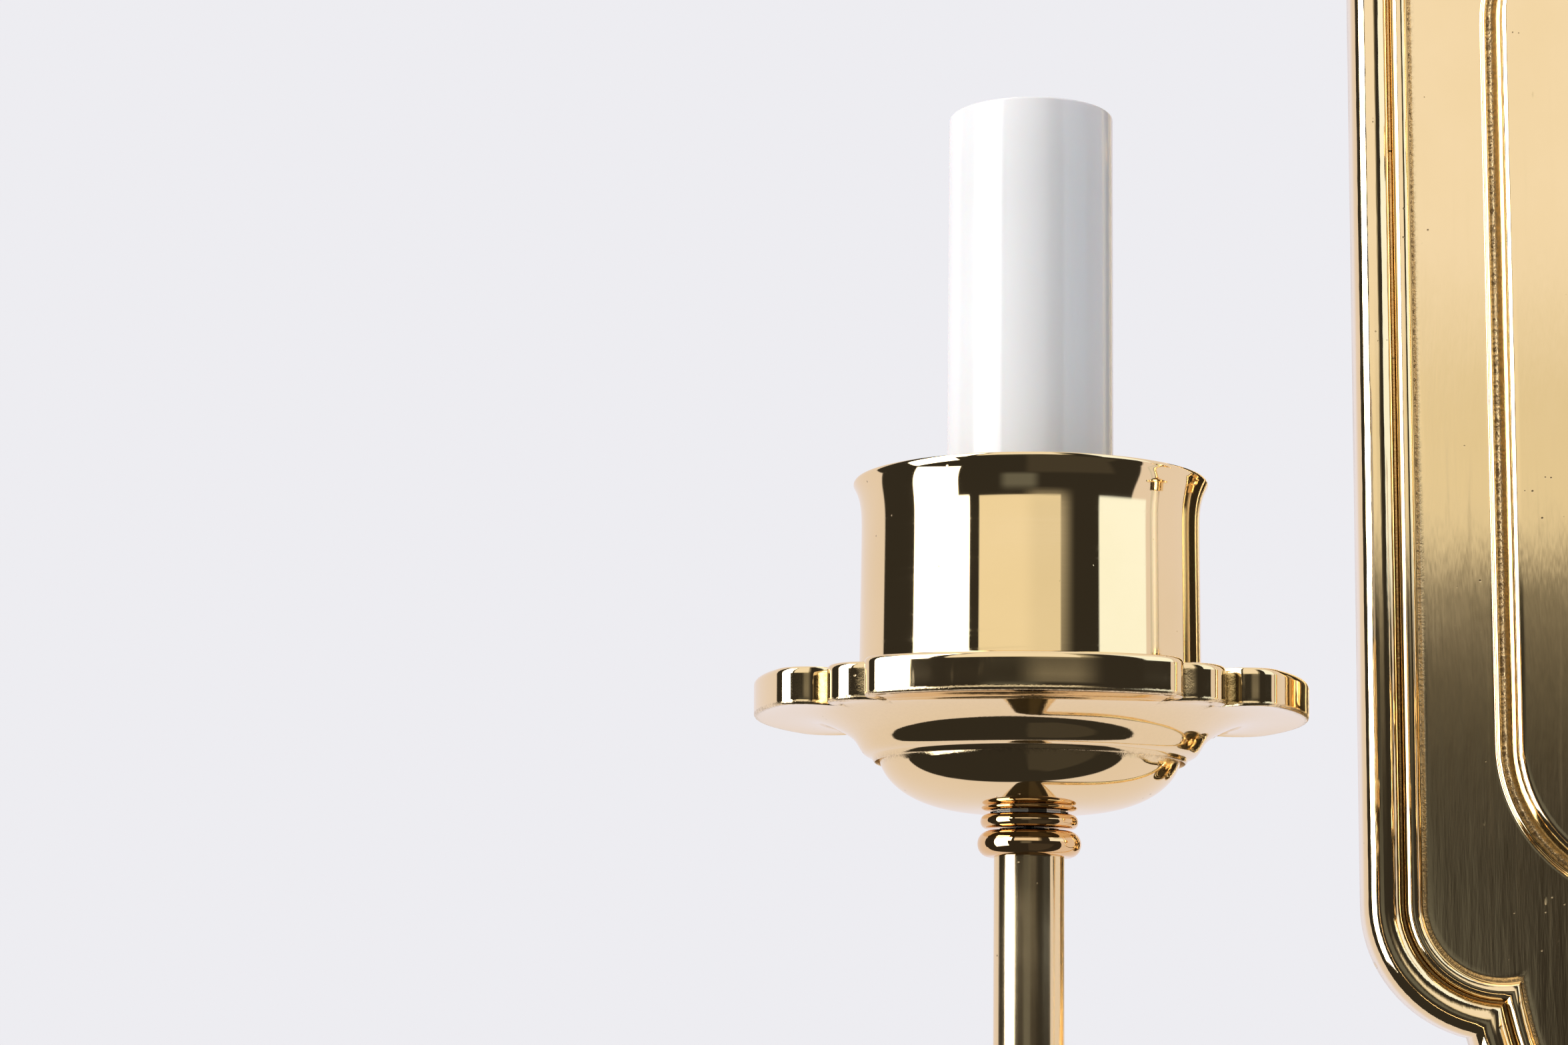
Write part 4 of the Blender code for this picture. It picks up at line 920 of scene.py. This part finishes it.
def make_camera():
    """Stands below the left candle's cup and looks up at it and at the plate's left edge."""
    turn, climb, roll = CAMERA_TURN, CAMERA_CLIMB, CAMERA_ROLL
    ahead = Vector((-sin(turn) * cos(climb), cos(turn) * cos(climb), sin(climb)))
    level = Vector((cos(turn), sin(turn), 0))
    upright = level.cross(ahead)
    right = level * cos(roll) + upright * sin(roll)
    above = upright * cos(roll) - level * sin(roll)
    data = bpy.data.cameras.new("camera")
    data.lens = CAMERA_LENS
    data.sensor_width = FILM_WIDTH
    data.clip_start = 0.01
    data.clip_end = 50
    camera = bpy.data.objects.new("camera", data)
    turned = Matrix((right, above, -ahead)).transposed().to_4x4()
    camera.matrix_world = Matrix.Translation(CAMERA_PLACE) @ turned
    bpy.context.scene.collection.objects.link(camera)
    bpy.context.scene.camera = camera


# ================================================================ the whole sconce


plate_brass = brass("polished_plate_brass", grain=(1, 1, 0.03), cast=0.9, base=0.06, streak=0.00004)
cast_brass = brass("polished_cast_brass", grain=(1, 1, 0.2), cast=0.9, base=0.045)
turned_brass = brass("polished_turned_brass", grain=(0.05, 0.05, 1), cast=0.7, base=0.035)
# the ring's coppery tint is a painted reflection of the dome above it, not a redder alloy
ring_brass = brass("polished_ring_brass", grain=(0.05, 0.05, 1), base=0.035, painted_warm_reflection=0.45)
tube_brass = brass("polished_tube_brass", grain=(1, 1, 0.06), base=0.13)
inner_brass = brass("plain_brass", base=0.16)
steel = zinc_steel("zinc_plated_steel")
plastic = sleeve_plastic()
phenolic = moulded("brown_phenolic", (0.035, 0.018, 0.010), (0.055, 0.030, 0.017), 0.32)
green = moulded("green_screw_paint", (0.02, 0.16, 0.05), (0.03, 0.22, 0.08), 0.35)
cap = moulded("tan_splice_cap", (0.52, 0.38, 0.20), (0.60, 0.45, 0.26), 0.45)
black = moulded("black_lead_cover", (0.012, 0.012, 0.012), (0.03, 0.03, 0.03), 0.4)
white = moulded("white_lead_cover", (0.62, 0.62, 0.60), (0.72, 0.72, 0.70), 0.4)

make_backplate(plate_brass)
make_hub(turned_brass)
make_finial(turned_brass)
make_cap_nuts(turned_brass)
make_arms(tube_brass)
make_beads(ring_brass)
make_domes(turned_brass)
make_pans(cast_brass)
make_cups(turned_brass)
make_sleeves(plastic)
finish_nodes({
    "brass": inner_brass, "steel": steel, "green_screw": green, "splice_cap": cap, "phenolic": phenolic,
    "sleeve": plastic, "black_lead": black, "white_lead": white,
})

make_world()
make_floor()
make_camera()
bpy.context.scene.view_settings.view_transform = "Standard"
